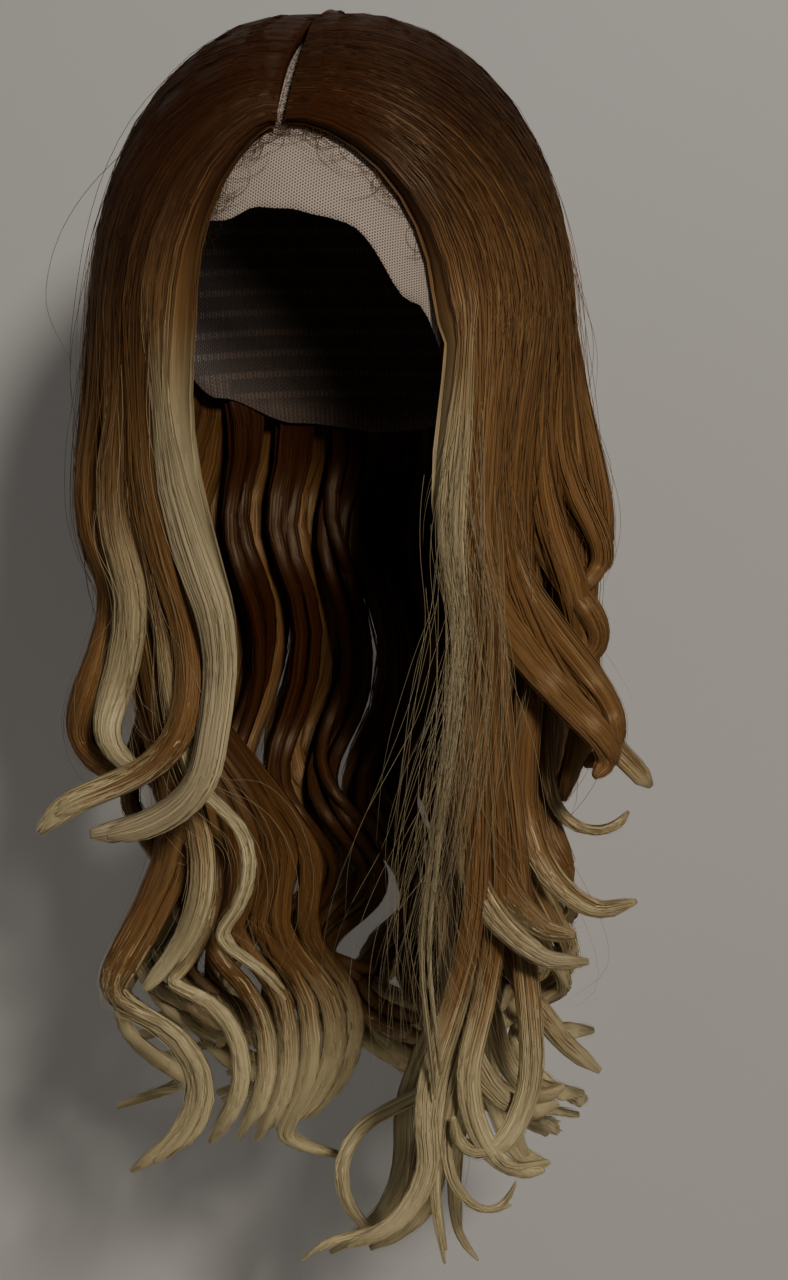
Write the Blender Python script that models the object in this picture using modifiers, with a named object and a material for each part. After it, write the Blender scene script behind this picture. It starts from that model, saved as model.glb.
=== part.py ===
"""A long lace front wig with a middle parting, dark roots and curled blonde ends, as it sits on a head.

Metres, +Z up, the face towards -Y. The origin is where the head meets the inside top of the cap.
"""
import math
from collections import namedtuple

import bmesh
import bpy
from mathutils import Vector

OBJECT_NAME = "lace_front_wig"

# Head space that the cap is made for
HEAD_HALF_WIDTH = 0.078
HEAD_HALF_DEPTH = 0.098
CROWN_RISE = 0.105
NAPE_FALL = 0.130
HEAD_SQUARENESS = 2.15

# Cap and lace
CAP_WALL = 0.0012
LACE_WALL = 0.0010
LACE_SEAM_Y = -0.004
SEAM_GAP = 0.0004
EDGE_TURNS = 40
EDGE_RINGS = 6

# Parting, where the hair leaves the lace
HAIRLINE_ANGLE = math.radians(51)
PARTING_LENGTH = 0.112
PARTING_GAP = 0.006
ROOT_LEAD = 0.30
DOWNWARD_LEAD = 0.42

# Locks on the head
HAIR_CLEARANCE = 0.0018
ROOT_THICKNESS = 0.004
BODY_THICKNESS = 0.0150
THICKENING = 1.15
ROOT_WIDTH = 0.021
BODY_WIDTH = 0.036
HEAD_STEPS = 7

# Locks below the widest level of the head
HAIR_DROP = 0.420
FLARE = 0.012
FLARE_DROP = 0.110
TIP_SPREAD = 0.012
TIP_WIDTH = 0.012
TIP_THICKNESS = 0.006
TIP_BLUNTNESS = 0.06
TAPER_LENGTH = 0.026
WAVE_START = 0.030
FIRST_BULGE = 0.086
WAVE_SWING = 0.009
WAVE_SKEW = 0.4
CURL_SWING = 0.023
CURL_FROM = 0.40
TIP_QUICKENING = 0.12
TIP_QUICKENING_POWER = 5
TIP_CURL_LENGTH = 0.055
UPPER_STEP = 0.024
LOWER_STEP = 0.0150
TIP_STEP = 0.0105
LOCK_SIDES = 6
LOCK_GAP = 0.0004

# Curtain at the nape
NAPE_ROOT_ANGLE = math.radians(106)
NAPE_LEAVE_ANGLE = math.radians(115)
NAPE_WIDTH = 0.017
NAPE_ROOT_THICKNESS = 0.003
NAPE_THICKNESS = 0.007
NAPE_CLEARANCE = 0.0009
NAPE_FLARE = 0.004
BAND_WIDTH = 0.010
BAND_OVERHANG = 4
BAND_STEPS = 12

# Lower edge of the cap and lace: turn from the face, angle down from the crown
Edge = namedtuple("Edge", "turn angle")
EDGES = [
    Edge(0, 69),
    Edge(20, 72),
    Edge(38, 88),
    Edge(54, 103),
    Edge(70, 108),
    Edge(95, 97),
    Edge(122, 110),
    Edge(150, 116),
    Edge(180, 118),
]

# One row for each lock: its turn from the face at the widest level (left is negative), its root as a
# share of the parting from the hairline back, its drop as a share of HAIR_DROP, its width and swing as
# shares of the named ones, its waves below the first bulge, how far its swing leans from straight
# outwards and its sweep, both in degrees, and its spread at the tip as a share of TIP_SPREAD
Lock = namedtuple("Lock", "turn root drop width swing waves lean sweep spread")
LOCKS = {
    "front_lock_left": [Lock(-30, 0.03, 0.45, 0.66, 1.0, 0.97, -50, 6, 0.0)],
    "side_hair_left": [
        Lock(-45, 0.11, 0.47, 0.96, 1.0, 0.97, -25, 2, 1.0),
        Lock(-62, 0.21, 0.87, 1.00, 1.0, 2.95, -10, 2, -2.0),
        Lock(-79, 0.33, 0.83, 1.00, 1.0, 2.95, 0, 4, -1.6),
        Lock(-97, 0.46, 0.89, 1.00, 1.0, 2.95, 0, 2, -1.2),
    ],
    "back_hair": [
        Lock(-116, 0.60, 0.88, 1.08, 0.9, 2.95, 0, 3, -1.0),
        Lock(-137, 0.74, 0.94, 1.12, 0.9, 2.95, 0, 2, -0.8),
        Lock(-158, 0.88, 0.90, 1.14, 0.9, 2.95, 0, 1, -0.5),
        Lock(180, 1.00, 0.96, 1.14, 0.9, 2.95, 0, 0, -0.5),
        Lock(159, 0.88, 0.91, 1.12, 0.9, 2.95, 0, -1, -0.3),
        Lock(139, 0.74, 0.95, 1.08, 0.9, 2.95, 0, -2, 0.0),
        Lock(120, 0.60, 0.88, 1.04, 0.9, 2.95, 0, -3, 0.0),
    ],
    "side_hair_right": [
        Lock(104, 0.48, 0.78, 0.92, 1.0, 2.95, 0, -4, 0.0),
        Lock(91, 0.36, 0.61, 0.88, 1.0, 1.95, 0, 0, 0.6),
        Lock(78, 0.24, 0.46, 0.88, 1.0, 1.00, 0, 2, 1.0),
        Lock(65, 0.13, 0.86, 0.88, 1.0, 2.95, 0, -6, 0.6),
    ],
    "front_lock_right": [Lock(51, 0.03, 0.85, 0.64, 1.0, 2.90, 30, -13, 0.0)],
}
NAPE_LOCKS = [
    Lock(-132, 0, 0.74, 1.0, 0.7, 2.25, 0, 4, -1.6),
    Lock(-149, 0, 0.82, 1.0, 0.7, 2.58, 0, 3, -1.4),
    Lock(-166, 0, 0.78, 1.0, 0.7, 2.42, 0, 1, -1.2),
    Lock(177, 0, 0.84, 1.0, 0.7, 2.66, 0, 0, -1.2),
    Lock(160, 0, 0.78, 1.0, 0.7, 2.42, 0, -1, -1.1),
    Lock(143, 0, 0.82, 1.0, 0.7, 2.58, 0, -3, -0.9),
    Lock(127, 0, 0.75, 1.0, 0.7, 2.30, 0, -4, -0.9),
]

# A cross-section of a lock: its middle, the way its outer side faces, its width and its thickness
Ring = namedtuple("Ring", "centre outward width thickness")

# Pieces that are trimmed clear of the locks beside them: piece, neighbour, rows of the neighbour that meet it
Trim = namedtuple("Trim", "piece neighbour rows")
TRIMS = [
    Trim("side_hair_left", "front_lock_left", slice(0, 1)),
    Trim("side_hair_right", "front_lock_right", slice(0, 1)),
    Trim("back_hair", "side_hair_left", slice(2, 4)),
    Trim("back_hair", "side_hair_right", slice(0, 2)),
]

# Plain finish of each piece: colour, roughness
Finish = namedtuple("Finish", "colour roughness")
FINISHES = {
    "wig_cap": Finish((0.10, 0.06, 0.04), 0.90),
    "lace_front": Finish((0.62, 0.50, 0.40), 0.80),
    "front_lock_left": Finish((0.55, 0.43, 0.25), 0.42),
    "front_lock_right": Finish((0.50, 0.39, 0.24), 0.42),
    "side_hair_left": Finish((0.22, 0.11, 0.04), 0.42),
    "side_hair_right": Finish((0.27, 0.14, 0.05), 0.42),
    "back_hair": Finish((0.19, 0.09, 0.03), 0.42),
    "nape_hair": Finish((0.10, 0.045, 0.02), 0.45),
}


def ease(share):
    """Smooth step from 0 to 1."""
    share = min(max(share, 0.0), 1.0)
    return share * share * (3 - 2 * share)


def mix(start, end, share):
    return start + (end - start) * share


def facing(turn, angle):
    """Unit direction from the middle of the widest level: turned from the face, and down from the crown."""
    return Vector((math.sin(turn) * math.sin(angle), -math.cos(turn) * math.sin(angle), math.cos(angle)))


def head_point(direction, lift):
    """Point on the head's form in a direction, lifted outwards."""
    ring = math.hypot(direction.x, direction.y)
    power = HEAD_SQUARENESS
    size = (ring**power + abs(direction.z) ** power) ** (-1 / power)
    rise = CROWN_RISE if direction.z >= 0 else NAPE_FALL
    return Vector((
        direction.x * size * (HEAD_HALF_WIDTH + lift),
        direction.y * size * (HEAD_HALF_DEPTH + lift),
        -CROWN_RISE + direction.z * size * (rise + lift),
    ))


def edge_angle(turn):
    """Angle down from the crown to the lower edge, at a turn in degrees."""
    turn = abs(turn)
    for before, after in zip(EDGES, EDGES[1:]):
        if turn <= after.turn:
            share = (turn - before.turn) / (after.turn - before.turn)
            return math.radians(mix(before.angle, after.angle, ease(share)))
    return math.radians(EDGES[-1].angle)


def on_head(lock):
    """Rings of a lock from the parting to the widest level of the head."""
    parting_turn = PARTING_LENGTH / HEAD_HALF_DEPTH
    root = facing(0, HAIRLINE_ANGLE - lock.root * parting_turn)
    side = math.sin(math.radians(lock.turn))
    side = 0 if abs(side) < 1e-6 else math.copysign(1, side)
    root.x += side * PARTING_GAP / 2 / HEAD_HALF_WIDTH
    rest = facing(math.radians(lock.turn), math.pi / 2)
    leaving = root + Vector((side * ROOT_LEAD, 0, 0))
    arriving = rest + Vector((0, 0, DOWNWARD_LEAD))
    rings = []
    for step in range(HEAD_STEPS):
        share = step / HEAD_STEPS
        left = 1 - share
        direction = root * left**3 + leaving * 3 * left**2 * share
        direction += arriving * 3 * left * share**2 + rest * share**3
        direction.normalize()
        thickness = mix(ROOT_THICKNESS, BODY_THICKNESS, share**THICKENING)
        width = mix(ROOT_WIDTH, BODY_WIDTH, ease(share)) * lock.width
        lift = CAP_WALL + HAIR_CLEARANCE + thickness / 2
        rings.append(Ring(head_point(direction, lift), direction, width, thickness))
    return rings


def wave_angle(drop, end, waves):
    """Radians round the wave of a lock: 0 where it bulges outwards, and quicker towards the tip."""
    share = (drop - FIRST_BULGE) / (end - FIRST_BULGE)
    quick = max(share, 0.0) ** TIP_QUICKENING_POWER
    wave = 2 * math.pi * waves * mix(share, quick, TIP_QUICKENING)
    return wave + WAVE_SKEW * (1 - math.cos(wave))


def drops(start, end):
    """Depths of the rings of a hanging lock, closer together where it curls."""
    depth = start
    found = []
    while depth < end - TIP_STEP:
        found.append(depth)
        step = mix(UPPER_STEP, LOWER_STEP, ease(depth / FIRST_BULGE))
        depth += mix(step, TIP_STEP, ease((depth - end + TIP_CURL_LENGTH) / TIP_CURL_LENGTH))
    found.append(end - TIP_STEP / 3)
    found.append(end)
    return found


def hanging(lock, start, lift, flare, width, thickness):
    """Rings of a lock that hangs from a depth below the widest level."""
    end = lock.drop * HAIR_DROP
    rings = []
    for drop in drops(start, end):
        share = drop / end
        turn = math.radians(lock.turn + lock.sweep * ease(share))
        outward = Vector((math.sin(turn), -math.cos(turn), 0))
        lean = turn + math.radians(lock.lean)
        bulge = Vector((math.sin(lean), -math.cos(lean), 0))
        around = Vector((math.cos(lean), math.sin(lean), 0))
        reach = lift + flare * ease(drop / FLARE_DROP) + lock.spread * TIP_SPREAD * ease(share)
        swing = mix(WAVE_SWING, CURL_SWING, ease((share - CURL_FROM) / (1 - CURL_FROM))) * lock.swing
        swing *= ease((drop - WAVE_START) / (FIRST_BULGE - WAVE_START))
        wave = wave_angle(drop, end, lock.waves)
        centre = Vector((
            outward.x * (HEAD_HALF_WIDTH + reach),
            outward.y * (HEAD_HALF_DEPTH + reach),
            -CROWN_RISE - drop,
        ))
        centre += (bulge * math.cos(wave) + around * math.sin(wave)) * swing
        narrowed = max((drop - end + TAPER_LENGTH) / TAPER_LENGTH, 0.0)
        taper = math.sqrt(max(1 - narrowed**2, TIP_BLUNTNESS))
        lock_width = mix(width, TIP_WIDTH, share) * taper
        lock_thickness = mix(thickness, TIP_THICKNESS, share) * taper
        rings.append(Ring(centre, outward, lock_width, lock_thickness))
    return rings


def outer_lock(lock):
    lift = CAP_WALL + HAIR_CLEARANCE + BODY_THICKNESS / 2
    return on_head(lock) + hanging(lock, 0, lift, FLARE, BODY_WIDTH * lock.width, BODY_THICKNESS)


def nape_lock(lock):
    """A strip of the curtain: it leaves the cap above the nape and hangs."""
    turn = math.radians(lock.turn)
    lift = CAP_WALL + NAPE_CLEARANCE + NAPE_ROOT_THICKNESS / 2
    rings = []
    for angle in (NAPE_ROOT_ANGLE, (NAPE_ROOT_ANGLE + NAPE_LEAVE_ANGLE) / 2):
        direction = facing(turn, angle)
        rings.append(Ring(head_point(direction, lift), direction, NAPE_WIDTH, NAPE_ROOT_THICKNESS))
    leave = head_point(facing(turn, NAPE_LEAVE_ANGLE), lift)
    reach = math.hypot(leave.x / HEAD_HALF_WIDTH, leave.y / HEAD_HALF_DEPTH) - 1
    start = -CROWN_RISE - leave.z
    hung = hanging(lock, start, reach * HEAD_HALF_DEPTH, NAPE_FLARE, NAPE_WIDTH, NAPE_THICKNESS)
    leaving = hung[0]._replace(thickness=NAPE_ROOT_THICKNESS)
    return rings + [leaving] + hung[1:]


def nape_band():
    """The weft that the curtain's strips are sewn to, round the back of the cap."""
    lift = CAP_WALL + NAPE_CLEARANCE + NAPE_ROOT_THICKNESS / 2
    first = NAPE_LOCKS[0].turn - BAND_OVERHANG
    last = NAPE_LOCKS[-1].turn + BAND_OVERHANG - 360
    rings = []
    for step in range(BAND_STEPS + 1):
        direction = facing(math.radians(mix(first, last, step / BAND_STEPS)), NAPE_ROOT_ANGLE)
        rings.append(Ring(head_point(direction, lift), direction, BAND_WIDTH, NAPE_ROOT_THICKNESS))
    return rings


def lock_mesh(name, rings, grow=0.0):
    """Closed lock lofted through flattened rings, grown all round by a gap where it is a cutter."""
    mesh = bmesh.new()
    centres = [ring.centre for ring in rings]
    ends = {0: -grow, len(rings) - 1: grow}
    flatness = math.sin(2 * math.pi / LOCK_SIDES)
    loops = []
    for index, (centre, outward, width, thickness) in enumerate(rings):
        before = centres[max(index - 1, 0)]
        after = centres[min(index + 1, len(centres) - 1)]
        along = (after - before).normalized()
        centre = centre + along * ends.get(index, 0)
        across = along.cross(outward).normalized()
        up = across.cross(along).normalized()
        loop = []
        for corner in range(LOCK_SIDES):
            around = 2 * math.pi * corner / LOCK_SIDES
            offset = across * math.cos(around) * (width / 2 + grow)
            offset += up * math.sin(around) * (thickness / 2 / flatness + grow)
            loop.append(mesh.verts.new(centre + offset))
        loops.append(loop)
    for upper, lower in zip(loops, loops[1:]):
        for corner in range(LOCK_SIDES):
            following = (corner + 1) % LOCK_SIDES
            mesh.faces.new((upper[corner], upper[following], lower[following]))
            mesh.faces.new((upper[corner], lower[following], lower[corner]))
    mesh.faces.new(reversed(loops[0]))
    mesh.faces.new(loops[-1])
    bmesh.ops.recalc_face_normals(mesh, faces=mesh.faces)
    data = bpy.data.meshes.new(name)
    mesh.to_mesh(data)
    mesh.free()
    return data


def clear_scene():
    for item in list(bpy.data.objects):
        bpy.data.objects.remove(item, do_unlink=True)


def collection(name):
    made = bpy.data.collections.new(name)
    bpy.context.scene.collection.children.link(made)
    return made


def material(name):
    finish = FINISHES[name]
    made = bpy.data.materials.new(name)
    made.use_nodes = True
    shader = made.node_tree.nodes["Principled BSDF"]
    shader.inputs["Base Color"].default_value = (*finish.colour, 1)
    shader.inputs["Roughness"].default_value = finish.roughness
    shader.inputs["Metallic"].default_value = 0.0
    return made


def add_piece(name, data, pieces):
    piece = bpy.data.objects.new(name, data)
    pieces.objects.link(piece)
    data.materials.append(material(name))
    return piece


def add_cutter(name, data, cutters):
    cutter = bpy.data.objects.new(name, data)
    cutters.objects.link(cutter)
    cutter.hide_render = True
    cutter.display_type = "WIRE"
    return cutter


def combine(piece, other, operation):
    boolean = piece.modifiers.new(other.name, "BOOLEAN")
    boolean.operation = operation
    boolean.object = other
    boolean.solver = "EXACT"


def cover_surface():
    """Open surface of the cap and lace together, from the crown to the lower edge."""
    surface = bmesh.new()
    crown = surface.verts.new(head_point(facing(0, 0), 0))
    rings = []
    for ring in range(1, EDGE_RINGS + 1):
        loop = []
        for step in range(EDGE_TURNS):
            turn = 360 * step / EDGE_TURNS
            turn = turn if turn <= 180 else turn - 360
            angle = edge_angle(turn) * ring / EDGE_RINGS
            loop.append(surface.verts.new(head_point(facing(math.radians(turn), angle), 0)))
        rings.append(loop)
    for step in range(EDGE_TURNS):
        following = (step + 1) % EDGE_TURNS
        surface.faces.new((crown, rings[0][step], rings[0][following]))
        for upper, lower in zip(rings, rings[1:]):
            surface.faces.new((upper[step], lower[step], lower[following], upper[following]))
    bmesh.ops.recalc_face_normals(surface, faces=surface.faces)
    return surface


def add_cover(name, wall, seam_y, front, pieces):
    """The lace in front of the seam, or the cap behind it."""
    surface = cover_surface()
    bmesh.ops.bisect_plane(
        surface, geom=surface.verts[:] + surface.edges[:] + surface.faces[:], dist=1e-6,
        plane_co=(0, seam_y, 0), plane_no=(0, 1, 0), clear_outer=front, clear_inner=not front)
    data = bpy.data.meshes.new(name)
    surface.to_mesh(data)
    surface.free()
    piece = add_piece(name, data, pieces)
    solidify = piece.modifiers.new("wall", "SOLIDIFY")
    solidify.thickness = wall
    solidify.offset = 1
    return piece


def add_hair(name, paths, pieces, cutters):
    """Locks of one section, fused where they lie side by side."""
    piece = add_piece(name, lock_mesh(name, paths[0]), pieces)
    for index, rings in enumerate(paths[1:], start=2):
        lock_name = f"{name}_lock_{index}"
        combine(piece, add_cutter(lock_name, lock_mesh(lock_name, rings), cutters), "UNION")
    return piece


def trim_hair(trim, made, cutters):
    for index, lock in enumerate(LOCKS[trim.neighbour][trim.rows], start=1):
        name = f"{trim.piece}_{trim.neighbour}_gap_{index}"
        gap = add_cutter(name, lock_mesh(name, outer_lock(lock), LOCK_GAP), cutters)
        combine(made[trim.piece], gap, "DIFFERENCE")


def main():
    clear_scene()
    pieces = collection(OBJECT_NAME)
    cutters = collection("cutters")
    add_cover("lace_front", LACE_WALL, LACE_SEAM_Y - SEAM_GAP, True, pieces)
    add_cover("wig_cap", CAP_WALL, LACE_SEAM_Y, False, pieces)
    made = {}
    for name, locks in LOCKS.items():
        made[name] = add_hair(name, [outer_lock(lock) for lock in locks], pieces, cutters)
    add_hair("nape_hair", [nape_band()] + [nape_lock(lock) for lock in NAPE_LOCKS], pieces, cutters)
    for trim in TRIMS:
        trim_hair(trim, made, cutters)


main()
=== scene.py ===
"""Looks of a long lace front wig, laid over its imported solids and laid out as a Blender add-on.

Metres, +Z up, the face towards -Y. The origin is where the head meets the inside top of the cap.
"""

import math
from collections import namedtuple

import bmesh
import bpy
import numpy as np
from bpy.props import FloatProperty, FloatVectorProperty, PointerProperty
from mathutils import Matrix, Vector


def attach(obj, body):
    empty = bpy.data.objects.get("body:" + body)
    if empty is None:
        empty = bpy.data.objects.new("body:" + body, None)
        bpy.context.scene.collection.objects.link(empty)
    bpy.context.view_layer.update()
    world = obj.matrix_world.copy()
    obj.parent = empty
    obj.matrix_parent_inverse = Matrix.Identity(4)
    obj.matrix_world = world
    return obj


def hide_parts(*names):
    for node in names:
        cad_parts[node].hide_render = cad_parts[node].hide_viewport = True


bl_info = {
    "name": "Lace front wig",
    "version": (1, 0, 0),
    "blender": (4, 5, 0),
    "location": "View3D > Sidebar > Wig",
    "description": "Builds the hair, lace and cap of a long wavy wig over its solids",
    "category": "Object",
}

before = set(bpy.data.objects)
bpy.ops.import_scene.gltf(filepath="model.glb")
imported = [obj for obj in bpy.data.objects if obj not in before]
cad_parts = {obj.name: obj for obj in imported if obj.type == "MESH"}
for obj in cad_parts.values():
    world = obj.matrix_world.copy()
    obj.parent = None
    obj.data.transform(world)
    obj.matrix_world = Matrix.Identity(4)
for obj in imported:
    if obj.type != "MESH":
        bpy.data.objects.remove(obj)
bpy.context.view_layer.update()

# Head space that the cap is made for
HEAD_HALF_WIDTH = 0.078
HEAD_HALF_DEPTH = 0.098
CROWN_RISE = 0.105
NAPE_FALL = 0.130
HEAD_SQUARENESS = 2.15

# Cap and lace
CAP_WALL = 0.0012
LACE_SEAM_Y = -0.004
HAIRLINE_ANGLE = math.radians(51)
PARTING_LENGTH = 0.112
PARTING_GAP = 0.0046
ROOT_LEAD = 0.30
DOWNWARD_LEAD = 0.42

# Locks on the head
HAIR_CLEARANCE = 0.0018
ROOT_THICKNESS = 0.004
BODY_THICKNESS = 0.0150
THICKENING = 1.15
ROOT_WIDTH = 0.021
BODY_WIDTH = 0.036

# Locks below the widest level of the head
HAIR_DROP = 0.420
FLARE = 0.012
FLARE_DROP = 0.110
TIP_SPREAD = 0.012
TIP_WIDTH = 0.012
TIP_THICKNESS = 0.006
TIP_BLUNTNESS = 0.25
TAPER_LENGTH = 0.010
WAVE_START = 0.030
FIRST_BULGE = 0.086
WAVE_SWING = 0.009
WAVE_SKEW = 0.4
CURL_SWING = 0.023
CURL_FROM = 0.40
TIP_QUICKENING = 0.12
TIP_QUICKENING_POWER = 5

# Curtain at the nape
NAPE_ROOT_ANGLE = math.radians(106)
NAPE_LEAVE_ANGLE = math.radians(115)
NAPE_WIDTH = 0.017
NAPE_ROOT_THICKNESS = 0.003
NAPE_THICKNESS = 0.007
NAPE_CLEARANCE = 0.0009
NAPE_FLARE = 0.004

# Lower edge of the cap and lace: turn from the face, angle down from the crown
EDGE_TURN = (0, 20, 38, 54, 70, 95, 122, 150, 180)
EDGE_ANGLE = (69, 72, 88, 103, 108, 97, 110, 116, 118)

# One row for each lock, as in the solids: turn from the face at the widest level, root as a share of the
# parting, drop as a share of HAIR_DROP, width and swing as shares, waves, lean and sweep in degrees, and
# spread at the tip; then the depths below the crown where the roots fade, the length is gold, it starts
# to pale and is pale, its share of ash blonde, and how it leaves the parting and arrives at the widest
# level. The sections that are drawn below take only their roots and the short hairs from these rows
Lock = namedtuple(
    "Lock", "turn root drop width swing waves lean sweep spread fade gold pale ends ash lead arrive",
    defaults=(ROOT_LEAD, DOWNWARD_LEAD))
SECTIONS = {
    "front_lock_left": [
        Lock(-27, 0.00, 0.43, 0.30, 1.0, 0.97, -50, 8, 0.0, 0.090, 0.150, 0.120, 0.180, 0.75, 0.10, 0.35),
        Lock(-30, 0.02, 0.45, 0.30, 1.0, 0.97, -50, 6, 0.0, 0.090, 0.160, 0.130, 0.200, 0.70, 0.17, 0.38),
        Lock(-35, 0.06, 0.46, 0.30, 1.0, 0.97, -46, 4, 0.0, 0.050, 0.200, 0.220, 0.300, 0.15, 0.24, 0.40),
    ],
    "side_hair_left": [
        Lock(-45, 0.11, 0.47, 0.96, 1.0, 0.97, -25, 2, 1.0, 0.045, 0.200, 0.220, 0.310, 0.25),
        Lock(-62, 0.21, 0.87, 1.00, 1.0, 2.95, -10, 2, -2.0, 0.040, 0.230, 0.300, 0.420, 0.15),
        Lock(-79, 0.33, 0.83, 1.00, 1.0, 2.95, 0, 4, -1.6, 0.040, 0.240, 0.310, 0.420, 0.10),
        Lock(-97, 0.46, 0.89, 1.00, 1.0, 2.95, 0, 2, -1.2, 0.040, 0.250, 0.330, 0.430, 0.10),
    ],
    "back_hair": [
        Lock(-116, 0.60, 0.88, 1.08, 0.9, 2.95, 0, 3, -1.0, 0.045, 0.260, 0.340, 0.440, 0.10),
        Lock(-137, 0.74, 0.94, 1.12, 0.9, 2.95, 0, 2, -0.8, 0.045, 0.270, 0.350, 0.450, 0.10),
        Lock(-158, 0.88, 0.90, 1.14, 0.9, 2.95, 0, 1, -0.5, 0.045, 0.270, 0.350, 0.450, 0.05),
        Lock(180, 1.00, 0.96, 1.14, 0.9, 2.95, 0, 0, -0.5, 0.045, 0.270, 0.350, 0.450, 0.05),
        Lock(159, 0.88, 0.91, 1.12, 0.9, 2.95, 0, -1, -0.8, 0.045, 0.270, 0.350, 0.450, 0.05),
        Lock(139, 0.74, 0.95, 1.08, 0.9, 2.95, 0, -2, -1.2, 0.045, 0.260, 0.340, 0.440, 0.10),
        Lock(120, 0.60, 0.88, 1.04, 0.9, 2.95, 0, -3, -1.4, 0.045, 0.250, 0.330, 0.430, 0.10),
    ],
    "side_hair_right": [
        Lock(104, 0.48, 0.78, 0.92, 1.0, 2.95, 0, -4, 0.0, 0.020, 0.120, 0.290, 0.400, 0.10),
        Lock(91, 0.36, 0.61, 0.88, 1.0, 1.95, 0, 0, 0.6, 0.020, 0.120, 0.270, 0.370, 0.10),
        Lock(78, 0.24, 0.46, 0.88, 1.0, 1.00, 0, 2, 1.0, 0.020, 0.120, 0.260, 0.330, 0.15),
        Lock(65, 0.13, 0.86, 0.88, 1.0, 2.95, 0, -6, 0.6, 0.020, 0.120, 0.250, 0.350, 0.25),
    ],
    "front_lock_right": [
        Lock(46, 0.00, 0.83, 0.30, 0.8, 2.90, 30, -16, 0.0, 0.050, 0.120, 0.110, 0.240, 0.80, 0.20, 0.40),
        Lock(51, 0.03, 0.85, 0.30, 0.9, 2.90, 30, -13, 0.0, 0.045, 0.130, 0.200, 0.300, 0.40, 0.28, 0.42),
        Lock(56, 0.06, 0.87, 0.30, 1.0, 2.90, 30, -16, 0.0, 0.040, 0.170, 0.260, 0.360, 0.15),
    ],
    # Painted shade: the curtain's fade and gold depths carry the dark root colour far down its length, for
    # the shadow of the head it hangs in
    "nape_hair": [
        Lock(-132, 0, 0.74, 1.0, 0.7, 2.25, 0, 4, -1.6, 0.260, 0.520, 0.400, 0.480, 0.05),
        Lock(-149, 0, 0.82, 1.0, 0.7, 2.58, 0, 3, -1.4, 0.260, 0.520, 0.400, 0.480, 0.05),
        Lock(-166, 0, 0.78, 1.0, 0.7, 2.42, 0, 1, -1.2, 0.260, 0.520, 0.400, 0.480, 0.05),
        Lock(177, 0, 0.84, 1.0, 0.7, 2.66, 0, 0, -1.2, 0.260, 0.520, 0.400, 0.480, 0.05),
        Lock(160, 0, 0.78, 1.0, 0.7, 2.42, 0, -1, -1.1, 0.260, 0.520, 0.400, 0.480, 0.05),
        Lock(143, 0, 0.82, 1.0, 0.7, 2.58, 0, -3, -0.9, 0.260, 0.520, 0.400, 0.480, 0.05),
        Lock(127, 0, 0.75, 1.0, 0.7, 2.30, 0, -4, -0.9, 0.260, 0.520, 0.400, 0.480, 0.05),
    ],
}

# The camera's frame, 788 by 1280 pixels, in which the falling locks are drawn
PICTURE_WIDTH = 788
PICTURE_HEIGHT = 1280
CAMERA_TURN = math.radians(12)
CAMERA_RISE = math.radians(11)
CAMERA_HALF_VIEW = math.radians(15.35)
CAMERA_DISTANCE = 0.97
CAMERA_SIDE_SHIFT = 0.024
CAMERA_AIM_Z = -0.245
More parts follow.
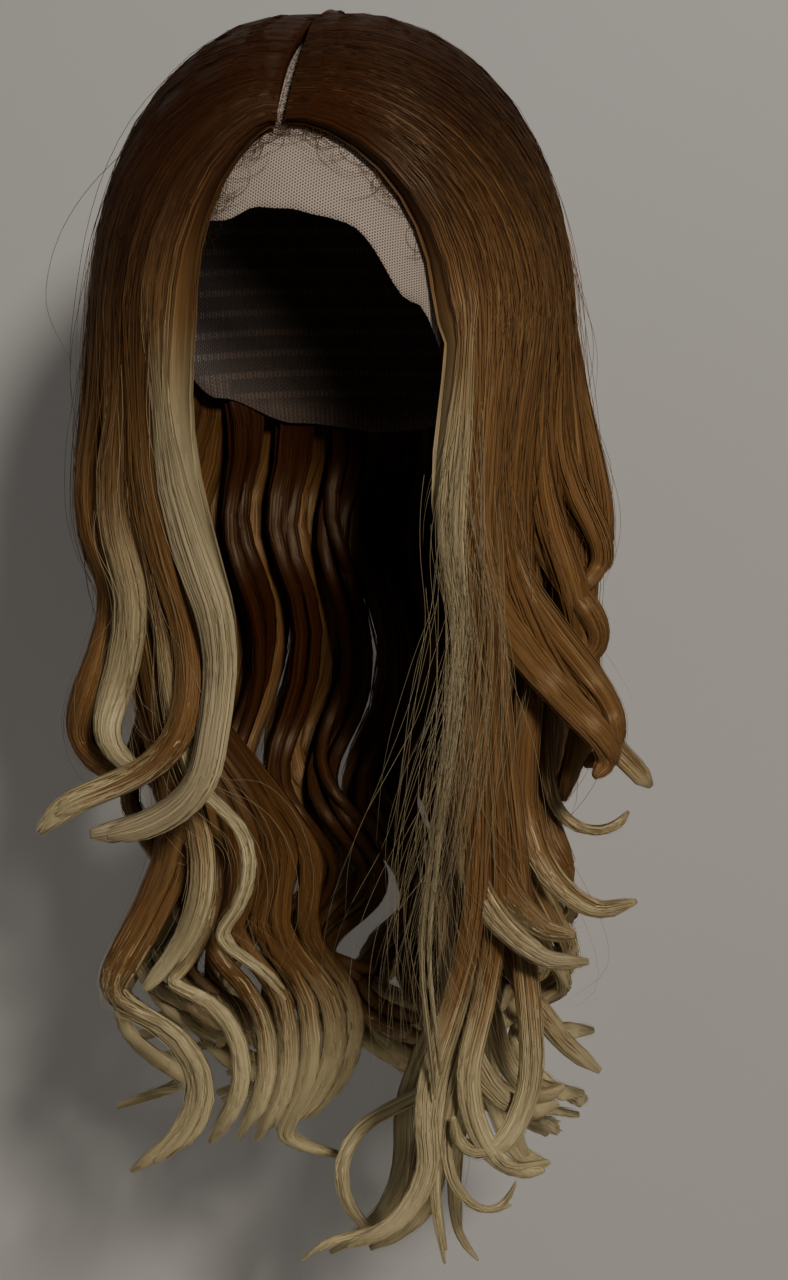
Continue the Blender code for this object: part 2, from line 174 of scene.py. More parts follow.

# Locks at the front and sides, drawn as the camera sees them: turn at the widest level, width as a
# share, lead and arrival on the head, the colour depths as above, share of ash blonde, y at the first place
# and the last, step of the sway in depth, and the places in the picture, each one a Spot in pixels
Spot = namedtuple("Spot", "across down width")
Trace = namedtuple("Trace", "turn width lead arrive fade gold pale ends ash near far sway places")
TRACES = {
    "front_lock_left": [
        Trace(-27, 0.40, 0.10, 0.35, 0.050, 0.115, 0.100, 0.170, 0.80, -0.088, -0.100, 0, (
            (172, 400, 22), (178, 480, 30), (197, 560, 34), (214, 615, 32), (219, 670, 29),
            (212, 730, 28), (200, 782, 28), (168, 815, 28), (125, 832, 26), (92, 836, 18))),
        Trace(-33, 0.42, 0.14, 0.37, 0.050, 0.160, 0.275, 0.305, 0.30, -0.084, -0.090, 1, (
            (152, 400, 24), (154, 480, 26), (166, 560, 26), (184, 620, 26), (190, 680, 26),
            (180, 730, 26), (152, 766, 26), (110, 787, 25), (66, 806, 22), (42, 834, 15))),
        Trace(-38, 0.36, 0.18, 0.38, 0.080, 0.160, 0.200, 0.300, 0.40, -0.080, -0.070, 2, (
            (142, 400, 16), (140, 480, 18), (152, 560, 18), (166, 640, 18), (176, 720, 14),
            (200, 790, 10), (236, 822, 8), (249, 862, 8), (240, 905, 8), (219, 934, 8), (232, 952, 7),
            (262, 970, 6), (288, 1000, 5))),
        Trace(-43, 0.42, 0.24, 0.40, 0.070, 0.150, 0.150, 0.270, 0.45, -0.078, -0.080, 3, (
            (128, 400, 24), (118, 470, 26), (118, 530, 26), (130, 590, 28), (127, 640, 32),
            (114, 690, 32), (104, 728, 27), (112, 752, 21), (134, 770, 16), (152, 776, 11))),
    ],
    "side_hair_left": [
        Trace(-48, 0.42, 0.28, 0.42, 0.045, 0.170, 0.300, 0.360, 0.40, -0.070, -0.050, 0, (
            (124, 450, 24), (135, 560, 24), (146, 640, 24), (160, 720, 24), (186, 790, 22),
            (201, 850, 22), (199, 900, 22), (182, 945, 20), (160, 975, 17), (146, 992, 12))),
        Trace(-53, 0.48, 0.30, 0.42, 0.045, 0.170, 0.340, 0.400, 0.10, -0.064, -0.064, 1, (
            (108, 400, 30), (97, 460, 32), (95, 525, 30), (113, 590, 24), (106, 640, 27), (88, 690, 30),
            (79, 725, 28), (86, 750, 24), (106, 768, 19), (130, 778, 13))),
        Trace(-58, 0.44, 0.30, 0.42, 0.045, 0.170, 0.375, 0.400, 0.30, -0.058, -0.040, 2, (
            (110, 450, 26), (120, 560, 24), (130, 640, 24), (155, 730, 24), (174, 800, 23),
            (166, 860, 23), (142, 915, 22), (118, 958, 20), (107, 990, 16), (128, 1012, 16),
            (165, 1030, 17), (191, 1064, 17), (196, 1100, 17), (178, 1138, 16), (150, 1162, 14),
            (134, 1173, 10))),
        Trace(-63, 0.44, 0.30, 0.42, 0.045, 0.170, 0.375, 0.400, 0.30, -0.050, -0.034, 3, (
            (104, 450, 26), (118, 560, 24), (134, 650, 24), (165, 740, 24), (184, 810, 22),
            (178, 870, 22), (156, 920, 20), (132, 962, 19), (118, 992, 15), (142, 1012, 15),
            (180, 1036, 16), (203, 1070, 16), (207, 1102, 15), (192, 1136, 13), (170, 1158, 9))),
        Trace(-68, 0.46, 0.30, 0.42, 0.045, 0.170, 0.330, 0.400, 0.15, -0.046, -0.020, 0, (
            (98, 450, 26), (112, 570, 26), (140, 660, 24), (180, 750, 24), (208, 820, 22),
            (216, 870, 22), (208, 915, 20), (190, 955, 18), (170, 984, 14), (196, 994, 15),
            (224, 1014, 17), (241, 1050, 18), (240, 1090, 18), (226, 1120, 18), (212, 1142, 14))),
        Trace(-74, 0.46, 0.30, 0.42, 0.045, 0.190, 0.350, 0.410, 0.12, -0.036, -0.040, 1, (
            (99, 400, 24), (92, 455, 26), (90, 520, 26), (99, 562, 24), (114, 598, 20), (108, 650, 24),
            (90, 700, 24), (82, 738, 22), (94, 764, 18), (118, 776, 12))),
        # Painted shade: these locks hang behind the face, and their fade and gold depths carry the real dark
        # root colour far down, for the shade there
        Trace(-79, 0.44, 0.30, 0.42, 0.200, 0.440, 0.385, 0.435, 0.10, -0.030, -0.006, 2, (
            (106, 470, 22), (112, 600, 24), (160, 710, 22), (215, 790, 20), (234, 850, 20),
            (228, 905, 20), (210, 944, 18), (222, 966, 18), (248, 992, 18), (264, 1030, 20),
            (266, 1072, 20), (256, 1108, 19), (240, 1138, 15))),
        Trace(-85, 0.44, 0.30, 0.42, 0.200, 0.440, 0.385, 0.440, 0.08, -0.020, 0.010, 3, (
            (110, 500, 20), (130, 640, 22), (200, 750, 20), (246, 830, 20), (248, 885, 19),
            (232, 928, 18), (248, 956, 18), (274, 986, 19), (288, 1028, 20), (288, 1074, 20),
            (274, 1112, 18), (258, 1140, 14))),
        Trace(-91, 0.44, 0.30, 0.42, 0.200, 0.440, 0.385, 0.450, 0.08, -0.006, 0.030, 0, (
            (110, 520, 20), (150, 660, 22), (225, 770, 20), (266, 840, 20), (264, 890, 19),
            (254, 925, 18), (272, 956, 18), (298, 988, 18), (308, 1030, 18), (304, 1078, 18),
            (288, 1116, 16), (282, 1138, 14), (312, 1150, 12), (346, 1158, 10))),
        Trace(-97, 0.44, 0.30, 0.42, 0.200, 0.440, 0.385, 0.460, 0.05, 0.010, 0.046, 1, (
            (118, 540, 20), (180, 690, 20), (252, 790, 20), (288, 850, 20), (280, 900, 19),
            (282, 936, 18), (304, 962, 18), (330, 996, 18), (336, 1038, 18), (326, 1080, 17),
            (306, 1110, 15), (290, 1126, 10))),
        Trace(-103, 0.44, 0.30, 0.42, 0.200, 0.440, 0.385, 0.460, 0.05, 0.026, 0.060, 2, (
            (124, 560, 20), (200, 700, 20), (275, 800, 20), (312, 860, 20), (306, 905, 19),
            (312, 945, 18), (338, 978, 18), (352, 1014, 18), (348, 1058, 17), (330, 1096, 15),
            (312, 1118, 11))),
    ],
    "front_lock_right": [
        Trace(46, 0.26, 0.20, 0.40, 0.055, 0.105, 0.100, 0.200, 0.70, -0.082, -0.098, 0, (
            (460, 340, 15), (455, 420, 18), (450, 490, 20), (452, 550, 16), (461, 620, 11),
            (457, 700, 8), (444, 790, 7), (432, 880, 6), (426, 960, 5), (434, 1040, 5), (440, 1100, 4))),
        Trace(50, 0.40, 0.24, 0.41, 0.045, 0.110, 0.300, 0.360, 0.50, -0.076, -0.090, 1, (
            (470, 420, 22), (468, 500, 24), (474, 570, 24), (480, 640, 26), (476, 720, 26),
            (462, 800, 25), (466, 860, 25), (488, 910, 24), (522, 944, 21), (558, 964, 17),
            (590, 962, 11))),
        Trace(54, 0.44, 0.28, 0.42, 0.015, 0.095, 0.300, 0.350, 0.15, -0.069, -0.070, 2, (
            (472, 360, 26), (460, 430, 28), (458, 490, 28), (466, 545, 29), (486, 597, 30),
            (514, 642, 30), (548, 684, 29), (582, 720, 27), (604, 744, 24), (609, 764, 20),
            (596, 778, 13))),
        Trace(58, 0.42, 0.30, 0.42, 0.015, 0.095, 0.320, 0.375, 0.35, -0.063, -0.074, 3, (
            (480, 440, 24), (484, 520, 24), (492, 600, 24), (494, 680, 26), (484, 750, 27),
            (480, 810, 27), (490, 860, 26), (514, 904, 24), (548, 932, 21), (580, 936, 13))),
        Trace(48, 0.30, 0.26, 0.42, 0.030, 0.110, 0.350, 0.420, 0.30, -0.078, -0.096, 0, (
            (470, 500, 16), (478, 640, 16), (480, 800, 18), (474, 920, 19), (452, 1010, 19),
            (432, 1070, 19), (426, 1120, 19), (430, 1164, 19), (414, 1204, 18), (386, 1232, 17),
            (350, 1246, 13))),
        Trace(52, 0.30, 0.26, 0.42, 0.030, 0.110, 0.350, 0.410, 0.30, -0.074, -0.088, 1, (
            (476, 500, 16), (486, 660, 16), (494, 820, 18), (496, 920, 18), (482, 1010, 18),
            (468, 1070, 18), (474, 1122, 18), (496, 1160, 17), (526, 1174, 16), (554, 1164, 11))),
        Trace(56, 0.30, 0.28, 0.42, 0.030, 0.110, 0.350, 0.410, 0.30, -0.066, -0.084, 2, (
            (484, 500, 16), (498, 680, 16), (512, 840, 18), (520, 940, 18), (528, 1020, 17),
            (530, 1072, 16), (520, 1112, 16), (504, 1144, 15), (478, 1156, 14), (458, 1140, 12),
            (456, 1118, 9))),
        Trace(59, 0.24, 0.30, 0.42, 0.030, 0.110, 0.330, 0.380, 0.30, -0.064, -0.090, 3, (
            (486, 540, 10), (500, 720, 10), (500, 880, 10), (480, 1000, 10), (456, 1090, 9),
            (446, 1150, 8), (458, 1192, 7), (484, 1214, 6), (510, 1206, 6), (520, 1184, 5))),
        Trace(61, 0.24, 0.30, 0.42, 0.030, 0.110, 0.330, 0.380, 0.30, -0.060, -0.088, 0, (
            (490, 560, 10), (504, 740, 10), (494, 900, 10), (466, 1010, 10), (442, 1090, 9),
            (434, 1160, 8), (436, 1212, 7), (446, 1264, 5))),
        Trace(63, 0.24, 0.30, 0.42, 0.030, 0.110, 0.330, 0.380, 0.30, -0.058, -0.086, 1, (
            (494, 580, 10), (506, 760, 10), (488, 920, 10), (452, 1040, 10), (420, 1120, 9),
            (412, 1180, 9), (396, 1222, 8), (360, 1234, 7), (326, 1242, 6), (303, 1262, 5))),
    ],
    "side_hair_right": [
        Trace(62, 0.42, 0.30, 0.42, 0.015, 0.095, 0.262, 0.300, 0.30, -0.056, -0.050, 0, (
            (492, 400, 24), (496, 490, 24), (510, 570, 24), (542, 645, 25), (578, 702, 25),
            (612, 744, 25), (636, 768, 24), (652, 786, 16))),
        Trace(65, 0.42, 0.30, 0.42, 0.015, 0.095, 0.330, 0.400, 0.45, -0.050, -0.066, 1, (
            (492, 450, 22), (500, 560, 22), (500, 660, 22), (478, 760, 22), (456, 850, 22),
            (448, 930, 22), (454, 1000, 22), (470, 1060, 21), (500, 1100, 20), (532, 1116, 18),
            (560, 1104, 12))),
        Trace(68, 0.46, 0.30, 0.42, 0.015, 0.095, 0.300, 0.350, 0.10, -0.045, -0.052, 2, (
            (500, 360, 28), (487, 430, 29), (488, 485, 30), (501, 543, 30), (528, 597, 30),
            (563, 644, 30), (594, 684, 28), (611, 716, 26), (613, 742, 22), (602, 758, 18),
            (588, 766, 12))),
        Trace(71, 0.42, 0.30, 0.42, 0.015, 0.095, 0.315, 0.350, 0.25, -0.039, -0.052, 3, (
            (510, 450, 22), (515, 560, 22), (522, 640, 24), (528, 700, 26), (523, 760, 26),
            (524, 812, 25), (537, 856, 23), (563, 892, 21), (600, 912, 19), (638, 902, 12))),
        Trace(74, 0.40, 0.30, 0.42, 0.015, 0.095, 0.360, 0.410, 0.35, -0.034, -0.050, 0, (
            (520, 470, 20), (525, 600, 20), (515, 740, 20), (500, 850, 22), (505, 930, 22),
            (522, 984, 22), (544, 1018, 22), (572, 1050, 20), (602, 1072, 13))),
        Trace(78, 0.46, 0.30, 0.42, 0.015, 0.095, 0.330, 0.380, 0.10, -0.026, -0.030, 1, (
            (524, 360, 26), (516, 425, 28), (521, 482, 28), (539, 536, 28), (566, 582, 28),
            (591, 612, 26), (600, 636, 23), (591, 656, 19), (572, 668, 13))),
        Trace(81, 0.40, 0.30, 0.42, 0.015, 0.095, 0.370, 0.430, 0.35, -0.020, -0.032, 2, (
            (530, 480, 20), (532, 620, 20), (512, 760, 20), (488, 880, 21), (484, 960, 21),
            (494, 1030, 20), (514, 1076, 20), (544, 1098, 18), (566, 1086, 12))),
        Trace(84, 0.44, 0.30, 0.42, 0.015, 0.095, 0.340, 0.390, 0.10, -0.014, -0.016, 3, (
            (550, 360, 24), (552, 425, 26), (566, 476, 27), (584, 512, 26), (599, 540, 24),
            (600, 564, 21), (590, 582, 17), (574, 592, 12))),
        Trace(76, 0.44, 0.30, 0.42, 0.025, 0.130, 0.330, 0.400, 0.10, -0.030, -0.028, 0, (
            (530, 400, 26), (535, 470, 28), (551, 530, 29), (572, 584, 29), (584, 640, 27),
            (586, 700, 25), (578, 756, 20), (566, 800, 15))),
        Trace(86, 0.42, 0.30, 0.42, 0.025, 0.140, 0.340, 0.400, 0.10, -0.010, -0.006, 1, (
            (556, 380, 24), (567, 450, 26), (580, 520, 27), (585, 580, 27), (582, 640, 25),
            (584, 700, 23), (574, 760, 20), (560, 800, 15))),
        Trace(87, 0.36, 0.30, 0.42, 0.015, 0.095, 0.290, 0.330, 0.20, -0.008, -0.012, 0, (
            (545, 500, 16), (550, 620, 16), (545, 720, 15), (548, 786, 13), (564, 820, 12),
            (592, 832, 11), (618, 826, 10), (629, 812, 7))),
        Trace(90, 0.44, 0.30, 0.42, 0.015, 0.095, 0.400, 0.450, 0.10, -0.002, -0.006, 1, (
            (556, 480, 22), (560, 600, 22), (548, 710, 24), (540, 780, 25), (548, 834, 26),
            (566, 866, 24), (574, 884, 17))),
        Trace(93, 0.44, 0.30, 0.42, 0.015, 0.095, 0.350, 0.400, 0.10, 0.004, 0.000, 2, (
            (562, 350, 22), (572, 405, 24), (586, 456, 24), (598, 502, 22), (601, 540, 20),
            (594, 572, 18), (586, 594, 13))),
        Trace(96, 0.42, 0.30, 0.42, 0.015, 0.095, 0.370, 0.420, 0.30, 0.010, 0.002, 3, (
            (560, 520, 20), (556, 660, 20), (530, 800, 20), (500, 920, 21), (486, 1000, 21),
            (488, 1070, 20), (504, 1120, 20), (524, 1156, 18), (552, 1164, 12))),
        Trace(99, 0.36, 0.30, 0.42, 0.015, 0.095, 0.380, 0.430, 0.30, 0.016, 0.004, 0, (
            (560, 540, 16), (548, 700, 16), (515, 850, 16), (490, 960, 16), (474, 1040, 15),
            (464, 1100, 14), (456, 1150, 12), (454, 1200, 11), (462, 1240, 10), (480, 1262, 9))),
        Trace(102, 0.38, 0.30, 0.42, 0.015, 0.095, 0.370, 0.420, 0.30, 0.022, -0.016, 1, (
            (556, 560, 18), (536, 720, 18), (505, 860, 16), (480, 960, 15), (464, 1040, 14),
            (440, 1084, 13), (396, 1106, 13), (358, 1130, 12), (342, 1162, 12), (342, 1192, 12),
            (357, 1220, 12), (388, 1242, 9))),
        Trace(105, 0.40, 0.30, 0.42, 0.015, 0.095, 0.380, 0.440, 0.30, 0.028, -0.006, 2, (
            (552, 580, 18), (526, 740, 18), (490, 880, 18), (455, 980, 18), (420, 1060, 18),
            (404, 1110, 18), (404, 1156, 18), (396, 1196, 18), (372, 1230, 17), (334, 1254, 13))),
        Trace(108, 0.40, 0.30, 0.42, 0.015, 0.095, 0.380, 0.440, 0.30, 0.033, 0.010, 3, (
            (548, 600, 18), (516, 760, 18), (484, 900, 18), (458, 1000, 18), (438, 1070, 18),
            (434, 1120, 18), (438, 1164, 18), (428, 1204, 18), (404, 1234, 15), (372, 1250, 11))),
    ],
}

# Locks under the others, which fill the sides behind the drawn ones and close the parting at the back
UNDER = {
    "back_hair": [
        Lock(180, 0.60, 0.84, 0.60, 0.8, 2.70, 0, 0, -1.4, 0.045, 0.270, 0.350, 0.450, 0.05, 0.0),
        Lock(180, 0.72, 0.88, 0.70, 0.8, 2.80, 0, 0, -1.2, 0.045, 0.270, 0.350, 0.450, 0.05, 0.0),
        Lock(180, 0.85, 0.90, 0.80, 0.8, 2.85, 0, 0, -1.0, 0.045, 0.270, 0.350, 0.450, 0.05, 0.0),
    ],
    "side_hair_left": [
        Lock(-84, 0.37, 0.66, 0.80, 0.4, 2.20, 0, 3, -3.4, 0.045, 0.260, 0.370, 0.460, 0.05),
        Lock(-95, 0.45, 0.74, 0.86, 0.5, 2.30, 0, 2, -3.4, 0.045, 0.260, 0.370, 0.460, 0.05),
        Lock(-106, 0.53, 0.80, 0.90, 0.6, 2.50, 0, 2, -3.2, 0.045, 0.260, 0.370, 0.460, 0.05),
    ],
    "side_hair_right": [
        Lock(88, 0.33, 0.62, 0.80, 0.5, 2.00, 0, -3, -2.6, 0.020, 0.140, 0.340, 0.420, 0.05),
        Lock(99, 0.44, 0.68, 0.86, 0.5, 2.20, 0, -3, -2.6, 0.020, 0.140, 0.350, 0.430, 0.05),
        Lock(110, 0.52, 0.76, 0.90, 0.6, 2.40, 0, -2, -2.0, 0.030, 0.160, 0.350, 0.430, 0.05),
    ],
}

# How each section is dressed: its material slot, bundles to a lock, fibre ribbons to a bundle, and seed
Dressing = namedtuple("Dressing", "slot bundles ribbons seed")
DRESSINGS = {
    "front_lock_left": Dressing("highlight_hair", 3, 110, 11),
    "side_hair_left": Dressing("rooted_hair", 2, 88, 12),
    "back_hair": Dressing("rooted_hair", 4, 76, 13),
    "side_hair_right": Dressing("rooted_hair", 2, 52, 14),
    "front_lock_right": Dressing("highlight_hair", 2, 100, 15),
    "nape_hair": Dressing("under_hair", 3, 62, 16),
}

# What a drawn lock needs on the head, and places along a bundle of hair
HeadRow = namedtuple("HeadRow", "turn root width lead arrive")
Path = namedtuple("Path", "centre across up along width thickness fall")

HEAD_POINTS = 16
CROWN_VOLUME = 0.0014

# Drawn locks: sway in depth, from which row of the picture, its steps, and the fullness kept at the tip
SWAY = 0.004
SWAY_BELOW = 560
SWAY_STEP = 1.9
SWAY_PHASE = 1.6
TIP_FULLNESS = 0.95
TIP_SLIMMING = 0.30
FORWARD_SQUEEZE = (0.45, 1.0)
FORWARD_PULL = (0, 0.40)
FORWARD_FALL = 0.14
THINNING_FALL = 0.16
FULL_DEPTH_WIDTH = 0.008
LEAST_DEPTH_SHARE = 0.4

# Bundles of a drawn lock: step sideways and back from its middle, chance, turn, ash and shortening
BUNDLE_STEP = 0.0045
BUNDLE_TUCK = 0.004
BUNDLE_CHANCE = 0.0006
BUNDLE_TURN = 3.0
BUNDLE_ASH_CHANCE = 0.10
BUNDLE_CUT = (0.001, 0.014)

# Loose strands
FLYAWAYS_A_LOCK = 6
FLYAWAY_POINTS = 34
FLYAWAY_RADIUS = 0.00012
FLYAWAY_LIFT = 0.0026
WISP_POINTS = 40
WISP_RADIUS = 0.00011
SHORT_HAIRS = 70
SHORT_HAIR_POINTS = 16
SHORT_HAIR_RADIUS = 0.00010

# Stage
FLOOR_Z = -1.05
WALL_HEIGHT = 4.0
SWEEP_RADIUS = 0.30
SWEEP_SEGMENTS = 12
LIGHT_AIM = (0.01, 0, -0.22)
KEY_PLACE = (0.66, -1.35, 0.46)
KEY_SIZE = 0.20
FILL_PLACE = (-1.1, -1.2, 0.1)
FILL_SIZE = 1.2
ROOM_LIGHT = 0.085

# Bundles on every lock
HANG_STEP = 0.005
SMOOTHING_PASSES = 6
CURL_GAIN = 1.15
HOOK_FROM = 0.86
HOOK_RISE = 0.016
HOOK_REACH = 0.004
RIBBON_POINTS = 28
RIBBON_SHADES = (0.38, 0.74)
HEART_POINTS = 44
HEART_SIDES = 12

# Drawn locks that thin wisps follow: section, place in its table, strands
WISPS = (
    ("front_lock_left", 2, 16), ("front_lock_left", 3, 10),
    ("front_lock_right", 0, 90), ("front_lock_right", 1, 20), ("side_hair_right", 1, 16),
)


class HairSizes(bpy.types.PropertyGroup):
    """Sizes of the hair."""

    ribbon_width: FloatProperty(
        name="Fibre ribbon width", description="Width of one ribbon of fibres",
        default=0.00058, min=0.0002, max=0.003, unit="LENGTH", precision=5)
    ribbon_spread: FloatProperty(
        name="Width spread", description="How much ribbon widths differ, as a share",
        default=0.40, min=0.0, max=0.9, subtype="FACTOR")
    looseness: FloatProperty(
        name="Looseness", description="How far fibres stray from their bundle's surface, as a share",
        default=0.10, min=0.0, max=1.0, subtype="FACTOR")
    bundle_fill: FloatProperty(
        name="Bundle fill", description="Size of the solid heart of a bundle, as a share of its section",
        default=0.93, min=0.3, max=1.0, subtype="FACTOR")


class HairColours(bpy.types.PropertyGroup):
    """Colours of the hair from root to end."""

    root: FloatVectorProperty(
        name="Roots", description="Dark brown at the parting", subtype="COLOR",
        default=(0.036, 0.0100, 0.0028), min=0.0, max=1.0)
    gold: FloatVectorProperty(
        name="Lengths", description="Warm caramel of the lengths", subtype="COLOR",
        default=(0.160, 0.076, 0.0240), min=0.0, max=1.0)
    pale: FloatVectorProperty(
        name="Ends", description="Golden blonde of the curled ends", subtype="COLOR",
        default=(0.530, 0.435, 0.235), min=0.0, max=1.0)
    ash: FloatVectorProperty(
        name="Face pieces", description="Ash blonde beside the face", subtype="COLOR",
        default=(0.250, 0.195, 0.116), min=0.0, max=1.0)


class CapSettings(bpy.types.PropertyGroup):
    """Sizes and colours of the cap and lace."""

    net_cell: FloatProperty(
        name="Lace cell", description="Distance between the holes of the lace",
        default=0.0011, min=0.0004, max=0.004, unit="LENGTH", precision=5)
    lace_wall: FloatProperty(
        name="Lace thickness", description="Thickness of the lace",
        default=0.0004, min=0.0001, max=0.001, unit="LENGTH", precision=5)
    weft_pitch: FloatProperty(
        name="Weft spacing", description="Distance between the sewn rows of the cap",
        default=0.0085, min=0.004, max=0.02, unit="LENGTH", precision=4)
    lace_colour: FloatVectorProperty(
        name="Lace colour", description="Beige of the lace", subtype="COLOR",
        default=(0.420, 0.340, 0.270), min=0.0, max=1.0)
    cap_colour: FloatVectorProperty(
        name="Cap colour", description="Dark brown of the cap net", subtype="COLOR",
        default=(0.050, 0.030, 0.020), min=0.0, max=1.0)


class StageSettings(bpy.types.PropertyGroup):
    """Backdrop and lights."""

    wall_distance: FloatProperty(
        name="Wall distance", description="From the wig's middle to the wall",
        default=0.30, min=0.15, max=3.0, unit="LENGTH")
    wall_colour: FloatVectorProperty(
        name="Wall colour", description="Pale paint of the backdrop", subtype="COLOR",
        default=(0.550, 0.526, 0.490), min=0.0, max=1.0)
    key_power: FloatProperty(
        name="Key light", description="Power of the main soft light, in watts",
        default=19.5, min=0.0, max=500.0, unit="POWER")
    fill_power: FloatProperty(
        name="Fill light", description="Power of the fill light, in watts",
        default=2.2, min=0.0, max=500.0, unit="POWER")


def ease(share):
    """Smooth step from 0 to 1."""
    share = np.clip(share, 0.0, 1.0)
    return share * share * (3 - 2 * share)


def mix(start, end, share):
    return start + (end - start) * share


def unit(vectors):
    return vectors / np.maximum(np.linalg.norm(vectors, axis=-1, keepdims=True), 1e-12)


def facing(turn, angle):
    """Unit directions from the middle of the widest level: turned from the face, and down from the crown."""
    turn, angle = np.broadcast_arrays(np.asarray(turn, float), np.asarray(angle, float))
    return np.stack((np.sin(turn) * np.sin(angle), -np.cos(turn) * np.sin(angle), np.cos(angle)), -1)


def head_points(direction, lift):
    """Points on the head's form in these directions, lifted outwards."""
    ring = np.hypot(direction[..., 0], direction[..., 1])
    rise_share = np.abs(direction[..., 2])
    size = (ring**HEAD_SQUARENESS + rise_share**HEAD_SQUARENESS) ** (-1 / HEAD_SQUARENESS)
    rise = np.where(direction[..., 2] >= 0, CROWN_RISE, NAPE_FALL)
    return np.stack((
        direction[..., 0] * size * (HEAD_HALF_WIDTH + lift),
        direction[..., 1] * size * (HEAD_HALF_DEPTH + lift),
        -CROWN_RISE + direction[..., 2] * size * (rise + lift),
    ), -1)


def edge_angle(turn):
    """Angle down from the crown to the lower edge of the cap and lace, at turns in degrees."""
    turn = np.abs(np.asarray(turn, float))
    after = np.clip(np.searchsorted(EDGE_TURN, turn, side="left"), 1, len(EDGE_TURN) - 1)
    turns, angles = np.array(EDGE_TURN, float), np.array(EDGE_ANGLE, float)
    share = (turn - turns[after - 1]) / (turns[after] - turns[after - 1])
    return np.radians(mix(angles[after - 1], angles[after], ease(share)))


def head_run(lock, points):
    """Centres, facings, widths and thicknesses of a lock from the parting to the widest level."""
    root = facing(0, HAIRLINE_ANGLE - lock.root * PARTING_LENGTH / HEAD_HALF_DEPTH)
    side = math.copysign(1, math.sin(math.radians(lock.turn)))
    gap = PARTING_GAP / 2 * (1 - 0.95 * float(ease((lock.root - 0.20) / 0.40)))
    root = root + np.array((side * gap / HEAD_HALF_WIDTH, 0, 0))
    rest = facing(math.radians(lock.turn), math.pi / 2)
    leaving = root + np.array((side * lock.lead, 0, 0))
    arriving = rest + np.array((0, 0, lock.arrive))
    share = (np.arange(points) / points)[:, None]
    left = 1 - share
    direction = root * left**3 + leaving * 3 * left**2 * share
    direction = unit(direction + arriving * 3 * left * share**2 + rest * share**3)
    share = share[:, 0]
    thickness = mix(ROOT_THICKNESS, BODY_THICKNESS, share**THICKENING)
    width = mix(ROOT_WIDTH, BODY_WIDTH, ease(share)) * lock.width
    lift = CAP_WALL + HAIR_CLEARANCE + thickness / 2 + CROWN_VOLUME * np.sin(math.pi * share**0.6)
    return head_points(direction, lift), direction, width, thickness


def wave_angle(drop, end, waves):
    share = (drop - FIRST_BULGE) / (end - FIRST_BULGE)
    quick = np.maximum(share, 0.0) ** TIP_QUICKENING_POWER
    wave = 2 * math.pi * waves * mix(share, quick, TIP_QUICKENING)
    return wave + WAVE_SKEW * (1 - np.cos(wave))


def hanging_run(lock, start, lift, flare, width, thickness):
    """Centres, facings, widths and thicknesses of a lock that hangs below the widest level."""
    end = lock.drop * HAIR_DROP
    drop = np.linspace(start, end, max(int((end - start) / HANG_STEP), 12))
    share = drop / end
    turn = np.radians(lock.turn + lock.sweep * ease(share))
    outward = np.stack((np.sin(turn), -np.cos(turn), 0 * turn), -1)
    lean = turn + math.radians(lock.lean)
    bulge = np.stack((np.sin(lean), -np.cos(lean), 0 * lean), -1)
    around = np.stack((np.cos(lean), np.sin(lean), 0 * lean), -1)
    reach = lift + flare * ease(drop / FLARE_DROP) + lock.spread * TIP_SPREAD * ease(share)
    swing = mix(WAVE_SWING, CURL_SWING, ease((share - CURL_FROM) / (1 - CURL_FROM))) * lock.swing
    swing = swing * ease((drop - WAVE_START) / (FIRST_BULGE - WAVE_START))
    swing = swing * mix(1.0, CURL_GAIN, ease((share - CURL_FROM) / 0.3))
    wave = wave_angle(drop, end, lock.waves)
    hook = np.maximum((share - HOOK_FROM) / (1 - HOOK_FROM), 0.0) ** 2
    reach = reach + HOOK_REACH * hook
    centre = np.stack((
        outward[:, 0] * (HEAD_HALF_WIDTH + reach),
        outward[:, 1] * (HEAD_HALF_DEPTH + reach),
        -CROWN_RISE - drop + HOOK_RISE * hook,
    ), -1)
    centre = centre + (bulge * np.cos(wave)[:, None] + around * np.sin(wave)[:, None]) * swing[:, None]
    narrowed = np.maximum((drop - end + TAPER_LENGTH) / TAPER_LENGTH, 0.0)
    taper = np.sqrt(np.maximum(1 - narrowed**2, TIP_BLUNTNESS))
    return centre, outward, mix(width, TIP_WIDTH, share) * taper, mix(thickness, TIP_THICKNESS, share) * taper


def joined_path(parts, passes=SMOOTHING_PASSES):
    """One smooth path from runs of centres, facings, widths and thicknesses."""
    centre, outward, width, thickness = (np.concatenate(columns) for columns in zip(*parts))
    for _ in range(passes):
        centre[1:-1] = centre[1:-1] * 0.5 + (centre[:-2] + centre[2:]) * 0.25
    along = unit(np.gradient(centre, axis=0))
    across = unit(np.cross(along, outward))
    up = unit(np.cross(across, along))
    steps = np.linalg.norm(np.diff(centre, axis=0), axis=1)
    fall = np.concatenate(((0.0,), np.cumsum(steps)))
    return Path(centre, across, up, along, width, thickness, fall)


def outer_path(lock):
    lift = CAP_WALL + HAIR_CLEARANCE + BODY_THICKNESS / 2
    hung = hanging_run(lock, 0.0, lift, FLARE, BODY_WIDTH * lock.width, BODY_THICKNESS)
    return joined_path((head_run(lock, HEAD_POINTS), hung))


